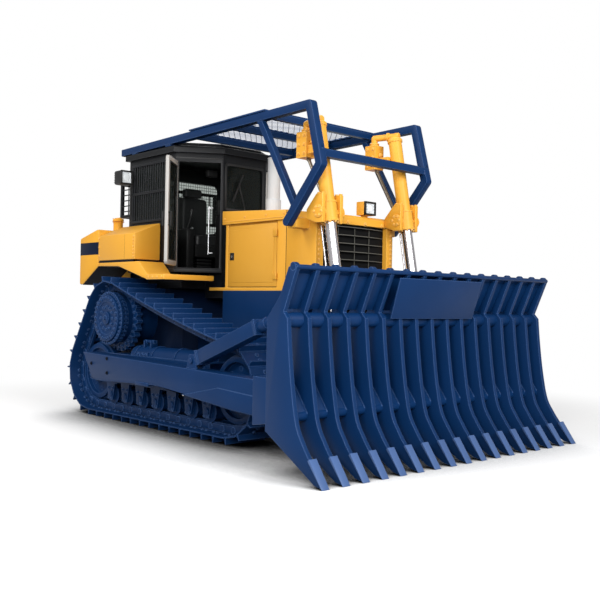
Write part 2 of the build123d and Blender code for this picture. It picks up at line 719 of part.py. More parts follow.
PIN_R = 14.0
LEAF_GAP = 0.3
DOOR_EDGE = 54.0  # from the hinge corner to the door's edge
DOOR_LATCH = 38.0
DOOR_RIM = 60.0
for name, side in SIDES:
    turn = 0.0 if side > 0 else -DOOR_OPEN_DEG
    hinge = Vector(CAB_CORNER_X, side * CAB_SIDE_Y, 0)
    latch = Vector(CAB_FRONT_X, side * CAB_FRONT_Y, 0)
    width = (latch - hinge).length
    shut = (latch - hinge).normalized()
    pin = hinge + shut.rotate(Axis.Z, side * 90) * (LEAF_GAP + PIN_R)
    along = shut.rotate(Axis.Z, turn)
    # along the door, up, and outwards; the origin is on the pin
    plane = Plane(origin=pin, x_dir=along, z_dir=along.rotate(Axis.Z, side * 90))
    up = round(plane.y_dir.Z)
    middle = up * (DOOR_Z0 + DOOR_Z1) / 2
    tall = DOOR_Z1 - DOOR_Z0 - 2 * DOOR_GAP
    wide = width - DOOR_EDGE - DOOR_LATCH
    face = 6.0 - LEAF_GAP - PIN_R  # the outer face stands 6 proud of the cab
    with BuildPart() as door:
        with BuildSketch(plane.offset(face - DOOR_T)):
            with Locations((DOOR_EDGE + wide / 2, middle)):
                RectangleRounded(wide, tall, 50)
                RectangleRounded(wide - 2 * DOOR_RIM, tall - 2 * DOOR_RIM, 30, mode=Mode.SUBTRACT)
        extrude(amount=DOOR_T)
        for z in (DOOR_Z0 + 220, DOOR_Z1 - 220):
            with BuildSketch(plane.offset(-PIN_R)):
                with Locations(((DOOR_EDGE + 40) / 2, up * z)):
                    Rectangle(DOOR_EDGE + 40, 90)
            extrude(amount=PIN_R)
            with BuildSketch(Plane.XY.offset(z - 45)):
                with Locations((pin.X, pin.Y)):
                    Circle(PIN_R)
            extrude(amount=90)
    save(door, f"cab_door_{name}")
    with BuildPart() as pane:
        with BuildSketch(plane.offset(face - DOOR_T / 2 - 4)):
            with Locations((DOOR_EDGE + wide / 2, middle)):
                RectangleRounded(wide - 2 * DOOR_RIM, tall - 2 * DOOR_RIM, 30)
        extrude(amount=8)
    save(pane, f"door_glass_{name}")

with BuildPart() as glass:
    with BuildSketch(Plane.YZ.offset(CAB_REAR_X + 20)):
        with Locations((0, REAR_WINDOW[0])):
            RectangleRounded(*REAR_WINDOW[1:])
    extrude(amount=8)
    for side in (-1, 1):
        with BuildSketch(Plane.XZ.offset(-side * (CAB_SIDE_Y - 20))):
            with Locations((SIDE_WINDOW_X, SIDE_WINDOW[0])):
                RectangleRounded(*SIDE_WINDOW[1:])
        extrude(amount=side * 8)
    with BuildSketch(Plane.YZ.offset(CAB_FRONT_X - 28)):
        with Locations((0, WINDSCREEN[0])):
            RectangleRounded(*WINDSCREEN[1:])
    extrude(amount=8)
save(glass, "cab_glass")

# ---------------------------------------------------------------- hood, engine doors, radiator guard
STACK_X = AXLE_X + 1850.0
STACK_R = 80.0
STACK_TOP_Z = 3380.0
SLEEVE_R = 92.0
SLEEVE_H = 80.0
with BuildPart() as hood:
    side_plate(
        (
            (HOOD_REAR_X, HOOD_LIP_Z),
            (GUARD_REAR_X, HOOD_LIP_Z),
            (GUARD_REAR_X, HOOD_FRONT_Z),
            (HOOD_REAR_X, HOOD_REAR_Z),
        ),
        -HOOD_Y - HOOD_LIP,
        HOOD_Y + HOOD_LIP,
    )
    side_plate(
        (
            (HOOD_REAR_X, HOOD_LIP_Z),
            (GUARD_REAR_X, HOOD_LIP_Z),
            (GUARD_REAR_X, HOOD_FRONT_Z - SHEET),
            (HOOD_REAR_X, HOOD_REAR_Z - SHEET),
        ),
        -HOOD_Y - HOOD_LIP + SHEET,
        HOOD_Y + HOOD_LIP - SHEET,
        Mode.SUBTRACT,
    )
    with BuildSketch(Plane.XY.offset(HOOD_LIP_Z)):
        with Locations((STACK_X, 0)):
            Circle(SLEEVE_R + 4)
    extrude(amount=300, mode=Mode.SUBTRACT)
save(hood, "hood_top")

for name, side in SIDES:
    with BuildPart() as panel:
        side_plate(
            (
                (ENGINE_DOOR_REAR_X, ENGINE_DOOR_Z0),
                (ENGINE_DOOR_FRONT_X - 8, ENGINE_DOOR_Z0),
                (ENGINE_DOOR_FRONT_X - 8, DOOR_TOP_Z),
                (ENGINE_DOOR_REAR_X, DOOR_TOP_Z),
            ),
            side * (HOOD_Y + 1 - ENGINE_DOOR_T),
            side * (HOOD_Y + 1),
        )
        pin_y = HOOD_Y + LEAF_GAP + PIN_R
        for z in (ENGINE_DOOR_Z0 + 120, DOOR_TOP_Z - 120):
            block(
                ENGINE_DOOR_FRONT_X - 70,
                ENGINE_DOOR_FRONT_X,
                side * (HOOD_Y + LEAF_GAP),
                side * pin_y,
                z - 40,
                z + 40,
            )
            with BuildSketch(Plane.XY.offset(z - 40)):
                with Locations((ENGINE_DOOR_FRONT_X, side * pin_y)):
                    Circle(PIN_R)
            extrude(amount=80)
    save(panel, f"engine_door_{name}")

POST_T = 50.0
DOOR_SEAM = 8.0
BULKHEAD_GAP = 0.3
with BuildPart() as sills:
    for side in (-1, 1):
        inner, outer = side * (HOOD_Y - POST_T), side * HOOD_Y
        rear_x = ENGINE_DOOR_REAR_X - DOOR_SEAM
        # rear post, front post and the sill between them
        block(rear_x - POST_T, rear_x, inner, outer, SILL_Z0, HOOD_LIP_Z)
        block(ENGINE_DOOR_FRONT_X, GUARD_REAR_X, inner, outer, SILL_Z0, HOOD_LIP_Z)
        block(SILL_REAR_X, GUARD_REAR_X, inner, outer, SILL_Z0, ENGINE_DOOR_Z0 - DOOR_SEAM)
        # top rail that carries the hood
        block(HOOD_REAR_X, GUARD_REAR_X, inner, side * (HOOD_Y - 30), DOOR_TOP_Z + 4, HOOD_LIP_Z + 60)
    # front cross rail, and the bulkhead that closes the hood's rear end
    block(GUARD_REAR_X - 40, GUARD_REAR_X, -HOOD_Y + 30, HOOD_Y - 30, HOOD_LIP_Z, HOOD_LIP_Z + 60)
    bulkhead_y = HOOD_Y + HOOD_LIP - SHEET - BULKHEAD_GAP
    bulkhead_z = HOOD_REAR_Z - SHEET - 10 * BULKHEAD_GAP
    block(HOOD_REAR_X, HOOD_REAR_X + 40, -bulkhead_y, bulkhead_y, HOOD_LIP_Z, bulkhead_z)
save(sills, "engine_frame")

with BuildPart() as guard:
    for side in (-1, 1):
        plan_plate(
            (
                (GUARD_REAR_X, side * (HOOD_Y + HOOD_LIP)),
                (GUARD_FRONT_X, side * GUARD_Y),
                (GUARD_FRONT_X, side * (GUARD_Y - GUARD_WALL)),
                (GUARD_REAR_X, side * (GUARD_Y - GUARD_WALL)),
            ),
            SILL_Z0,
            BEAM_Z0,
        )
    side_plate(
        (
            (GUARD_REAR_X, BEAM_Z0),
            (GUARD_FRONT_X, BEAM_Z0),
            (GUARD_FRONT_X, BEAM_Z1 - 30),
            (GUARD_FRONT_X - 40, BEAM_Z1),
            (GUARD_FRONT_X - 150, BEAM_Z1),
            (GUARD_REAR_X, HOOD_FRONT_Z),
        ),
        -GUARD_Y,
        GUARD_Y,
    )
    # the beam follows the side plates' taper
    for side in (-1, 1):
        plan_plate(
            (
                (GUARD_REAR_X, side * (HOOD_Y + HOOD_LIP)),
                (GUARD_FRONT_X, side * GUARD_Y),
                (GUARD_REAR_X, side * GUARD_Y),
            ),
            BEAM_Z0,
            HOOD_FRONT_Z,
            Mode.SUBTRACT,
        )
    # brackets that carry the sweeps' feet
    foot_x, foot_z = SWEEP["foot"]
    for side in (-1, 1):
        block(
            foot_x - 70,
            foot_x + 70,
            side * (GUARD_Y - GUARD_WALL),
            side * (SWEEP_Y - TUBE / 2),
            foot_z - 60,
            foot_z + 55,
        )
save(guard, "radiator_guard")

GRILLE_Z1 = BEAM_Z0
GRILLE_Y = GUARD_Y - GUARD_WALL - 0.3
BARS = 12
with BuildPart() as grille:
    block(GUARD_FRONT_X - 120, GUARD_FRONT_X - 60, -GRILLE_Y, GRILLE_Y, GRILLE_Z0, GRILLE_Z1)
    step = (GRILLE_Z1 - GRILLE_Z0 - 60) / (BARS - 1)
    for i in range(BARS):
        with BuildSketch(Plane.XY.offset(GRILLE_Z0 + 30 + i * step - 7)):
            with BuildLine():
                ends = (GUARD_FRONT_X - 60, GRILLE_Y)
                ThreePointArc((ends[0], -ends[1]), (GUARD_FRONT_X - 5, 0), ends)
                Line(ends, (ends[0], -ends[1]))
            make_face()
        extrude(amount=14)
save(grille, "grille")

with BuildPart() as core:
    block(GUARD_REAR_X + 120, GUARD_FRONT_X - 150, -GUARD_Y + 180, GUARD_Y - 180, GRILLE_Z0, GRILLE_Z1)
save(core, "radiator_core")

LAMP_Y = 220.0
LAMP_W = 180.0
LAMP_H = 156.0
LAMP_FOOT = 20.0
with BuildPart() as lamp:
    lamp_x, lamp_z = GUARD_FRONT_X - 70, BEAM_Z1 + LAMP_FOOT
    block(lamp_x - 65, lamp_x + 65, LAMP_Y - LAMP_W / 2, LAMP_Y + LAMP_W / 2, lamp_z, lamp_z + LAMP_H)
    block(lamp_x - 50, lamp_x + 10, LAMP_Y - 30, LAMP_Y + 30, BEAM_Z1, lamp_z)
save(lamp, "head_lamp")

with BuildPart() as stack:
    rod_between((STACK_X, 0, DOOR_TOP_Z - 70), (STACK_X, 0, HOOD_REAR_Z + SLEEVE_H), SLEEVE_R)
    rod_between((STACK_X, 0, HOOD_REAR_Z + SLEEVE_H), (STACK_X, 0, STACK_TOP_Z), STACK_R)
save(stack, "exhaust_stack")

# ---------------------------------------------------------------- sweeps and roof screen
def rail_z(x):
    """Height of the upper rails' centre line at x."""
    (xa, za), (xb, zb) = SWEEP["rear"], SWEEP["top"]
    return za + (x - xa) / (xb - xa) * (zb - za)


with BuildPart() as sweeps:
    for side in (-1, 1):
        y = side * SWEEP_Y
        runs = (
            ("rear", "top", TUBE),
            ("top", "bend", TUBE),
            ("bend", "foot", TUBE),
            ("brace_top", "brace_foot", BRACE),
        )
        for a, b, wide in runs:
            (xa, za), (xb, zb) = SWEEP[a], SWEEP[b]
            beam_between((xa, y, za), (xb, y, zb), wide, wide)
        for corner in ("top", "bend", "foot"):
            disc(*SWEEP[corner], TUBE / 2, y - TUBE / 2, y + TUBE / 2)
        # roof brackets
        for x in (CAB_REAR_X + 150, CAB_CORNER_X - 150):
            block(x - 60, x + 60, side * (SWEEP_Y - 40), side * (SWEEP_Y + 40), CAB_TOP_Z + ROOF_T, rail_z(x))
    x, z = SWEEP["bar"]
    cross_bar((x, -SWEEP_Y, z), (x, SWEEP_Y, z), TUBE - 10, TUBE - 10)
save(sweeps, "sweeps_frame")

SCREEN_REAR_X = AXLE_X + 1270.0
SCREEN_FRONT_X = AXLE_X + 2740.0
SCREEN_BARS = 24
SCREEN_RODS = 9
with BuildPart() as screen:
    half = SWEEP_Y - TUBE / 2 - 0.3
    middle_x = (SCREEN_REAR_X + SCREEN_FRONT_X) / 2
    for x in (SCREEN_REAR_X, middle_x, SCREEN_FRONT_X):
        block(x - 35, x + 35, -half, half, rail_z(x) - 35, rail_z(x) + 35)
    # flat bars on the rails
    for side in (-1, 1):
        ends = [(x, side * SWEEP_Y, rail_z(x) + TUBE / 2 + 9) for x in (SCREEN_REAR_X, SCREEN_FRONT_X)]
        beam_between(*ends, TUBE + 30, 16)
    # mesh between them
    lift = TUBE / 2 + 3
    for i in range(SCREEN_BARS):
        x = SCREEN_REAR_X + (SCREEN_FRONT_X - SCREEN_REAR_X) * (i + 0.5) / SCREEN_BARS
        block(x - 6, x + 6, -SWEEP_Y, SWEEP_Y, rail_z(x) + lift, rail_z(x) + lift + 12)
    for i in range(SCREEN_RODS):
        y = -half + 2 * half * (i + 0.5) / SCREEN_RODS
        ends = [(x, y, rail_z(x) + lift + 6) for x in (SCREEN_REAR_X, SCREEN_FRONT_X)]
        beam_between(*ends, 12, 12)
    for x in (SCREEN_REAR_X, middle_x, SCREEN_FRONT_X):
        block(x - 20, x + 20, -half, half, rail_z(x) + 35, rail_z(x) + lift + 6)
save(screen, "roof_screen")

REAR_LAMP_Z = 3210.0  # middle of the lamp
REAR_LAMP_Y = CAB_SIDE_Y + 60.0
REAR_LAMP_W = 150.0
with BuildPart() as lamps:
    for side in (-1, 1):
        inner, outer = side * REAR_LAMP_Y, side * (REAR_LAMP_Y + REAR_LAMP_W)
        block(CAB_REAR_X + 20, CAB_REAR_X + 150, inner, outer, REAR_LAMP_Z - 80, REAR_LAMP_Z + 80)
        foot = side * CAB_SIDE_Y
        block(CAB_REAR_X + 40, CAB_REAR_X + 100, foot, inner, REAR_LAMP_Z - 30, REAR_LAMP_Z + 30)
save(lamps, "rear_lamps")

# ---------------------------------------------------------------- lift cylinders
SLOPE = Vector(EYE_X - YOKE_X, 0, EYE_Z - YOKE_Z).normalized()


def on_cylinder(y, down):
    """A point on the cylinder's line, `down` mm below the yoke's axis."""
    return (YOKE_X + SLOPE.X * down, y, YOKE_Z + SLOPE.Z * down)


CHEEK_IN = 106.0
CHEEK_T = 50.0
YOKE_Z0 = 2410.0
YOKE_Z1 = 2720.0
GLAND_R = 90.0
VALVE_BACK = 265.0
VALVE_IN = 65.0
VALVE_Z0 = 3165.0
VALVE_Z1 = 3450.0
PIPE_R = 38.0
PIPE_Z = 3545.0
for name, side in SIDES:
    y = side * CYL_Y
    with BuildPart() as yoke:
        for face in (-1, 1):
            inner, outer = y + face * CHEEK_IN, y + face * (CHEEK_IN + CHEEK_T)
            side_plate(
                (
                    (GUARD_FRONT_X, YOKE_Z0 + 50),
                    (YOKE_X - 40, YOKE_Z0),
                    (YOKE_X + 60, YOKE_Z0),
                    (YOKE_X + 60, YOKE_Z1),
                    (YOKE_X - 40, YOKE_Z1),
                    (GUARD_FRONT_X, BEAM_Z1),
                ),
                inner,
                outer,
            )
            disc(YOKE_X, YOKE_Z, TRUNNION_R + PIN_GAP, inner - face, outer + face, Mode.SUBTRACT)
        block(GUARD_FRONT_X, GUARD_FRONT_X + 30, y - CHEEK_IN, y + CHEEK_IN, BEAM_Z0, BEAM_Z1 - 30)
    save(yoke, f"cylinder_yoke_{name}")

    with BuildPart() as barrel:
        rod_between(on_cylinder(y, BARREL_DOWN), on_cylinder(y, -BARREL_UP), BARREL_R)
        rod_between(on_cylinder(y, BARREL_DOWN), on_cylinder(y, -BARREL_DOWN), GLAND_R)
        disc(YOKE_X, YOKE_Z, TRUNNION_R, y - CHEEK_IN - CHEEK_T, y + CHEEK_IN + CHEEK_T)
        # valve block behind the barrel and the bent pipe over its top
        top = on_cylinder(y, -BARREL_UP + 15)
        x, inboard = top[0] - VALVE_BACK, y - side * VALVE_IN
        block(x - 80, x + 80, inboard - 75, inboard + 75, VALVE_Z0, VALVE_Z1)
        block(x + 60, top[0] - 10, inboard - 45, inboard + 45, VALVE_Z0 + 40, VALVE_Z0 + 130)
        rod_between((x, inboard, VALVE_Z1 - 20), (x, inboard, PIPE_Z), PIPE_R)
        rod_between((x, inboard, PIPE_Z), (top[0], y, PIPE_Z), PIPE_R)
        rod_between((top[0], y, PIPE_Z), (top[0], y, top[2] - 5), PIPE_R)
        for corner in ((x, inboard, PIPE_Z), (top[0], y, PIPE_Z)):
            with Locations(corner):
                Sphere(PIPE_R)
        rod_between(on_cylinder(y, BARREL_DOWN + 1), on_cylinder(y, -BARREL_UP + 30), BORE_R, Mode.SUBTRACT)
    save(barrel, f"cylinder_barrel_{name}")

    with BuildPart() as rod:
        length = math.hypot(EYE_X - YOKE_X, EYE_Z - YOKE_Z)
        rod_between(on_cylinder(y, length - 40), on_cylinder(y, -ROD_INSIDE), ROD_R)
        disc(EYE_X, EYE_Z, EYE_R, y - EYE_W / 2, y + EYE_W / 2)
    save(rod, f"cylinder_rod_{name}")

# ---------------------------------------------------------------- push arms and rake
DOUBLER_T = 10.0
for name, side in SIDES:
    with BuildPart() as arm:
        side_plate(
            (
                (AXLE_X - 50, PIVOT_Z + 150),
                (ARM_FRONT_X, PIVOT_Z + 68),
                (ARM_FRONT_X, PIVOT_Z - 288),
                (ARM_FRONT_X - 400, PIVOT_Z - 272),
                (ARM_FRONT_X - 1900, PIVOT_Z - 145),
                (PIVOT_X + 40, PIVOT_Z - 185),
                (PIVOT_X - 120, PIVOT_Z - 160),
            ),
            side * ARM_IN_Y,
            side * ARM_OUT_Y,
        )
        bore = (side * (ARM_IN_Y - 1), side * (ARM_OUT_Y - 80))
        disc(PIVOT_X, PIVOT_Z, TRUNNION_SHAFT_R + PIN_GAP, *bore, Mode.SUBTRACT)
        # doubler plate low on the outer face
        side_plate(
            (
                (AXLE_X + 2270, PIVOT_Z - 192),
                (AXLE_X + 2890, PIVOT_Z - 67),
                (ARM_FRONT_X - 30, PIVOT_Z - 99),
                (ARM_FRONT_X - 30, PIVOT_Z - 284),
                (ARM_FRONT_X - 400, PIVOT_Z - 270),
            ),
            side * (ARM_OUT_Y - 2),
            side * (ARM_OUT_Y + DOUBLER_T),
        )
        # ears for the strut's lower pin
        for face in (-1, 1):
            inner = side * (ARM_IN_Y + ARM_OUT_Y) / 2 + face * (STRUT_EYE_W / 2 + PIN_GAP)
            side_plate(
                (
                    (STRUT_X - 110, PIVOT_Z + 60),
                    (STRUT_X + 110, PIVOT_Z + 60),
                    (STRUT_X + 50, STRUT_Z + 70),
                    (STRUT_X - 50, STRUT_Z + 70),
                ),
                inner,
                inner + face * 25,
            )
        # end fitting to the rake
        block(
            ARM_FRONT_X,
            BEAM_REAR_X,
            side * (ARM_IN_Y + 50),
            side * (ARM_OUT_Y - 50),
            PIVOT_Z - 260,
            PIVOT_Z + 10,
        )
    save(arm, f"push_arm_{name}")

    with BuildPart() as strut:
        y = side * (ARM_IN_Y + ARM_OUT_Y) / 2
        eye = Vector(STRUT_X, y, STRUT_Z)
        run = Vector(STRUT_TOP_X - STRUT_X, 0, STRUT_TOP_Z - STRUT_Z).normalized()
        low, high = eye + run * 110, eye + run * 1180
        beam_between(tuple(low), tuple(high), 150, 150)
        rod_between(tuple(eye), tuple(low), 38)
        disc(STRUT_X, STRUT_Z, 60, y - STRUT_EYE_W / 2, y + STRUT_EYE_W / 2)
        rod_between(tuple(high), (STRUT_TOP_X, y, STRUT_TOP_Z), 50)
        block(STRUT_TOP_X - 60, TINE_REAR_X, y - 60, y + 60, STRUT_TOP_Z - 230, STRUT_TOP_Z + 60)
    save(strut, f"strut_{name}")

# front edge from the tip up, then the rear edge down again: (x from the tines' straight rear edge, z)
TINE = (
    (770, 0),
    (590, 220),
    (500, 340),
    (410, 500),
    (345, 810),
    (300, 1150),
    (275, 1420),
    (225, 1475),
    (386, 1862),
    (372, 1880),
    (280, 1870),
    (175, 1620),
    (0, 1410),
    (0, 400),
    (655, 20),
)
# lower beam with its nose between the tines, back plate
BEAM = ((-190, 430), (260, 500), (300, 560), (60, 880), (-190, 880))
BACK_PLATE = ((120, 1500), (140, 1495), (304, 1828), (284, 1837))
TUBE_R = 70.0
TUBE_AT = (TINE_REAR_X + 160, 1400)
TOP_BAR_R = 22.0
TOP_BAR_AT = (TINE_REAR_X + 372, 1868)
KNOB_R = 36.0
KNOB_AT = (TINE_REAR_X + 338, 1874)
SEAT = 0.2  # all round, where a beam passes through a tine


def rake_outline(points):
    return [(TINE_REAR_X + x, z) for x, z in points]


def cross_beams(low, high, grow, mode):
    """Every beam of the rake between two Y stations, grown by `grow` all round."""
    for points in (BEAM, BACK_PLATE):
        with BuildSketch(Plane.XZ.offset(-high)) as profile:
            with BuildLine():
                Polyline(*rake_outline(points), close=True)
            make_face()
            if grow:
                offset(amount=grow, kind=Kind.INTERSECTION)
        extrude(profile.sketch, amount=high - low, mode=mode)
    disc(*TUBE_AT, TUBE_R + grow, low, high, mode)
    disc(*TOP_BAR_AT, TOP_BAR_R + grow, low, high, mode)


with BuildPart() as tines:
    for i in range(TINES):
        y = -RAKE_Y + i * TINE_PITCH
        low, high = y - TINE_T / 2, y + TINE_T / 2
        side_plate(rake_outline(TINE), low, high)
        disc(*KNOB_AT, KNOB_R, low, high)
    cross_beams(-RAKE_Y - TINE_T, RAKE_Y + TINE_T, SEAT, Mode.SUBTRACT)
save(tines, "rake_tines")

with BuildPart() as rake:
    cross_beams(-RAKE_Y - TINE_T / 2, RAKE_Y + TINE_T / 2, 0.0, Mode.ADD)
    # ears for the lift rods' eyes
    for side in (-1, 1):
        for face in (-1, 1):
            inner = side * CYL_Y + face * (EYE_W / 2 + EYE_GAP)
            side_plate(
                [
                    (EYE_X - 70, EYE_Z - 60),
                    (EYE_X + 20, EYE_Z - 130),
                    (TINE_REAR_X - 180, 700),
                    (TINE_REAR_X - 150, 880),
                    (EYE_X + 20, EYE_Z + 90),
                    (EYE_X - 70, EYE_Z + 60),
                ],
                inner,
                inner + face * EAR_T,
            )
save(rake, "rake_beams")

with BuildPart() as teeth:
    for i in range(TINES):
        y = -RAKE_Y + i * TINE_PITCH
        side_plate(
            [
                (TINE_REAR_X + 770.4, 0),
                (TINE_REAR_X + 776, 0),
                (TINE_REAR_X + 609, 236),
                (TINE_REAR_X + 590.4, 220),
            ],
            y - TOOTH_T / 2,
            y + TOOTH_T / 2,
        )
save(teeth, "rake_teeth")

with BuildPart() as plate:
    side_plate(
        [
            (TINE_REAR_X + 275.4, 1421),
            (TINE_REAR_X + 289, 1417),
            (TINE_REAR_X + 408, 1815),
            (TINE_REAR_X + 394, 1819),
        ],
        -660,
        660,
    )
save(plate, "rake_plate")
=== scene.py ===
"""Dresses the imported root-rake crawler: enamel, steel, glass and the small parts that bolt onto the solids.

Metres, in the part's own frame: +X the way it drives, +Y its left side, +Z up, the ground at z = 0.
"""

import json
import math

import bmesh
import bpy
from mathutils import Matrix, Vector

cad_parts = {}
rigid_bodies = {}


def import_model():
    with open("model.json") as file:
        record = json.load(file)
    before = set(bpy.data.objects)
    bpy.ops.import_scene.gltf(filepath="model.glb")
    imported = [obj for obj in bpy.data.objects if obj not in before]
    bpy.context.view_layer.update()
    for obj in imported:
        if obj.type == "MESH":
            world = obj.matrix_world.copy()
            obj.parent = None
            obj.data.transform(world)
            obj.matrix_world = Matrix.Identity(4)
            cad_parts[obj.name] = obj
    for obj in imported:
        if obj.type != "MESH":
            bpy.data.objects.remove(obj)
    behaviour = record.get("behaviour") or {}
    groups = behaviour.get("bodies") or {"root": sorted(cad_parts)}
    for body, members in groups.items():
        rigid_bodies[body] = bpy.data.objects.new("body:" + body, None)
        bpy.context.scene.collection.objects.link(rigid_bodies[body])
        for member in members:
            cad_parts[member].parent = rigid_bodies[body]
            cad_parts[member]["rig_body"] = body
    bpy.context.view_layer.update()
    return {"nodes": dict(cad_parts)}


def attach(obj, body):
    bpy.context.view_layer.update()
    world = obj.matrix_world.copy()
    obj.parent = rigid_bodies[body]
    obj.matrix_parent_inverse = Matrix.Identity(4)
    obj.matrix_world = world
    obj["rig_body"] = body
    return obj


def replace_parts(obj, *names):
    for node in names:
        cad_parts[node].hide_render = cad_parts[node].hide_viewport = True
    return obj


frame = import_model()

SCENE = bpy.context.scene
NODES = frame["nodes"]
SIDES = (("right", -1), ("left", 1))
X, Y, Z = Vector((1, 0, 0)), Vector((0, 1, 0)), Vector((0, 0, 1))


# ---- camera
def put(name, data):
    """An object that shows the data, in the scene."""
    made = bpy.data.objects.new(name, data)
    SCENE.collection.objects.link(made)
    return made


def aim_camera(place, azimuth, pitch, roll, lens):
    """A camera at place, its azimuth from +Y towards -X; angles in degrees, the lens in mm."""
    data = bpy.data.cameras.new("camera")
    data.lens = lens
    data.sensor_width = 36
    camera = put("camera", data)
    turns = ((azimuth, "Z"), (90 + pitch, "X"), (roll, "Z"))
    first, second, third = (Matrix.Rotation(math.radians(angle), 4, axis) for angle, axis in turns)
    camera.matrix_world = Matrix.Translation(place) @ first @ second @ third
    SCENE.camera = camera


aim_camera(place=(8.019, -6.823, 1.544), azimuth=47.812, pitch=0.279, roll=1.079, lens=50.18)

# ---- shader helpers
RGBA = {"data_type": "RGBA"}  # a mix of two colours: its inputs 6 and 7, its output 2
MULTIPLY, MAXIMUM = {"operation": "MULTIPLY"}, {"operation": "MAXIMUM"}
SMOOTH = {"interpolation_type": "SMOOTHSTEP"}
WHITE = (1, 1, 1, 1)


def linear(code):
    """An sRGB hex colour as a linear colour, by the sRGB curve."""
    channels = [int(code[i : i + 2], 16) / 255 for i in (0, 2, 4)]
    return tuple(c / 12.92 if c <= 0.04045 else ((c + 0.055) / 1.055) ** 2.4 for c in channels) + (1.0,)


def add(material, kind, settings=None, out=0, **inputs):
    """Adds a shader node and gives one of its outputs, or the node itself if `out` is None.

    An input is a value or another node's output; its name has _ for a space, or is i and a number.
    """
    shader = material.node_tree.nodes.new("ShaderNode" + kind)
    for key, value in (settings or {}).items():
        setattr(shader, key, value)
    for name, value in inputs.items():
        number = name[1:]
        socket = shader.inputs[int(number)] if number.isdigit() else shader.inputs[name.replace("_", " ")]
        if isinstance(value, bpy.types.NodeSocket):
            material.node_tree.links.new(value, socket)
        else:
            socket.default_value = value
    return shader if out is None else shader.outputs[out]


def new_material(name):
    """An empty material, and the place on the object that its textures go by."""
    material = bpy.data.materials.new(name)
    material.use_nodes = True
    material.node_tree.nodes.clear()
    return material, add(material, "TexCoord", out="Object")


# ---- materials
PATCHES, SPECKS = 1.7, 9.0  # noise cells per metre: broad patches of tone, and specks of dust
PEEL = 80.0  # about 12 mm from crest to crest: coarser than real orange peel, so that it shows
PEEL_DEPTH = 0.0006
MOST_DUST = 0.55
# radius and strongest share of the painted highlight along edges
HIGHLIGHT_RADIUS, MOST_HIGHLIGHT = 0.012, 0.8
BAND_LOW, BAND_HIGH = 2.164, 2.333  # heights of the dark band round the tank
LAMINATE_IOR, LEAST_SHINE = 1.5, 0.16


def enamel(name, dark, light, rough, peel, shine=0.3, coat=0.0, edge_highlight=None, band=None, grime="3A342C",
           grime_height=0.01):
    """Sprayed machine enamel with a faint orange peel: dust low down, a painted highlight along the edges, and a band
    at one height.
    """
    m, place = new_material(name)
    height = add(m, "SeparateXYZ", out="Z", Vector=place)
    broad = add(m, "TexNoise", Vector=place, Scale=PATCHES, Detail=3.0)
    skin = add(m, "TexNoise", Vector=place, Scale=PEEL, Detail=2.0)
    speck = add(m, "TexNoise", Vector=place, Scale=SPECKS, Detail=6.0, Roughness=0.65)
    low = add(m, "MapRange", Value=height, From_Max=grime_height, To_Min=MOST_DUST, To_Max=0.0)
    dusty = add(m, "Math", MULTIPLY, i0=low, i1=speck)
    colour = add(m, "Mix", RGBA, 2, Factor=broad, i6=linear(dark), i7=linear(light))
    colour = add(m, "Mix", RGBA, 2, Factor=dusty, i6=colour, i7=linear(grime))
    if edge_highlight:
        # painted highlight along the edges: an edge is where a rounded normal leaves the face's own
        flat = add(m, "NewGeometry", out="Normal")
        rounded = add(m, "Bevel", {"samples": 6}, Radius=HIGHLIGHT_RADIUS)
        alike = add(m, "VectorMath", {"operation": "DOT_PRODUCT"}, "Value", i0=flat, i1=rounded)
        edge = add(m, "MapRange", Value=alike, From_Min=0.995, From_Max=0.86, To_Max=MOST_HIGHLIGHT)
        colour = add(m, "Mix", RGBA, 2, Factor=edge, i6=colour, i7=linear(edge_highlight))
    if band:
        above = add(m, "Math", {"operation": "GREATER_THAN"}, i0=height, i1=BAND_LOW)
        under = add(m, "Math", {"operation": "LESS_THAN"}, i0=height, i1=BAND_HIGH)
        inside = add(m, "Math", MULTIPLY, i0=above, i1=under)
        colour = add(m, "Mix", RGBA, 2, Factor=inside, i6=colour, i7=linear(band))
    bump = add(m, "Bump", Strength=peel, Distance=PEEL_DEPTH, Height=skin)
    gloss = add(m, "MapRange", Value=speck, To_Min=rough - 0.04, To_Max=rough + 0.08)
    shader = add(m, "BsdfPrincipled", Base_Color=colour, Roughness=gloss, Normal=bump, IOR=1.5,
                 Specular_IOR_Level=shine, Coat_Weight=coat, Coat_Roughness=0.15)
    add(m, "OutputMaterial", out=None, Surface=shader)
    return m


def metal(name, colour, rough, grain, depth=0.0002, swing=0.3):
    """Bare metal with a cloudy grain, whose roughness swings by a share either way."""
    m, place = new_material(name)
    cloud = add(m, "TexNoise", Vector=place, Scale=grain, Detail=3.0)
    gloss = add(m, "MapRange", Value=cloud, To_Min=rough * (1 - swing), To_Max=rough * (1 + swing))
    bump = add(m, "Bump", Strength=0.25, Distance=depth, Height=cloud)
    shader = add(m, "BsdfPrincipled", Base_Color=linear(colour), Metallic=1.0,
                 Roughness=gloss, Normal=bump)
    add(m, "OutputMaterial", out=None, Surface=shader)
    return m


def moulded(name, colour, rough, grain=260.0, depth=0.0003, sheen=0.0):
    """Moulded plastic, rubber or coated cloth with a fine leathery grain."""
    m, place = new_material(name)
    cells = add(m, "TexVoronoi", Vector=place, Scale=grain)
    wear = add(m, "TexNoise", Vector=place, Scale=6.0, Detail=4.0)
    bump = add(m, "Bump", Strength=0.35, Distance=depth, Height=cells)
    gloss = add(m, "MapRange", Value=wear, To_Min=rough - 0.06, To_Max=rough + 0.08)
    shader = add(m, "BsdfPrincipled", Base_Color=linear(colour), Roughness=gloss, Normal=bump,
                 Sheen_Weight=sheen)
    add(m, "OutputMaterial", out=None, Surface=shader)
    return m


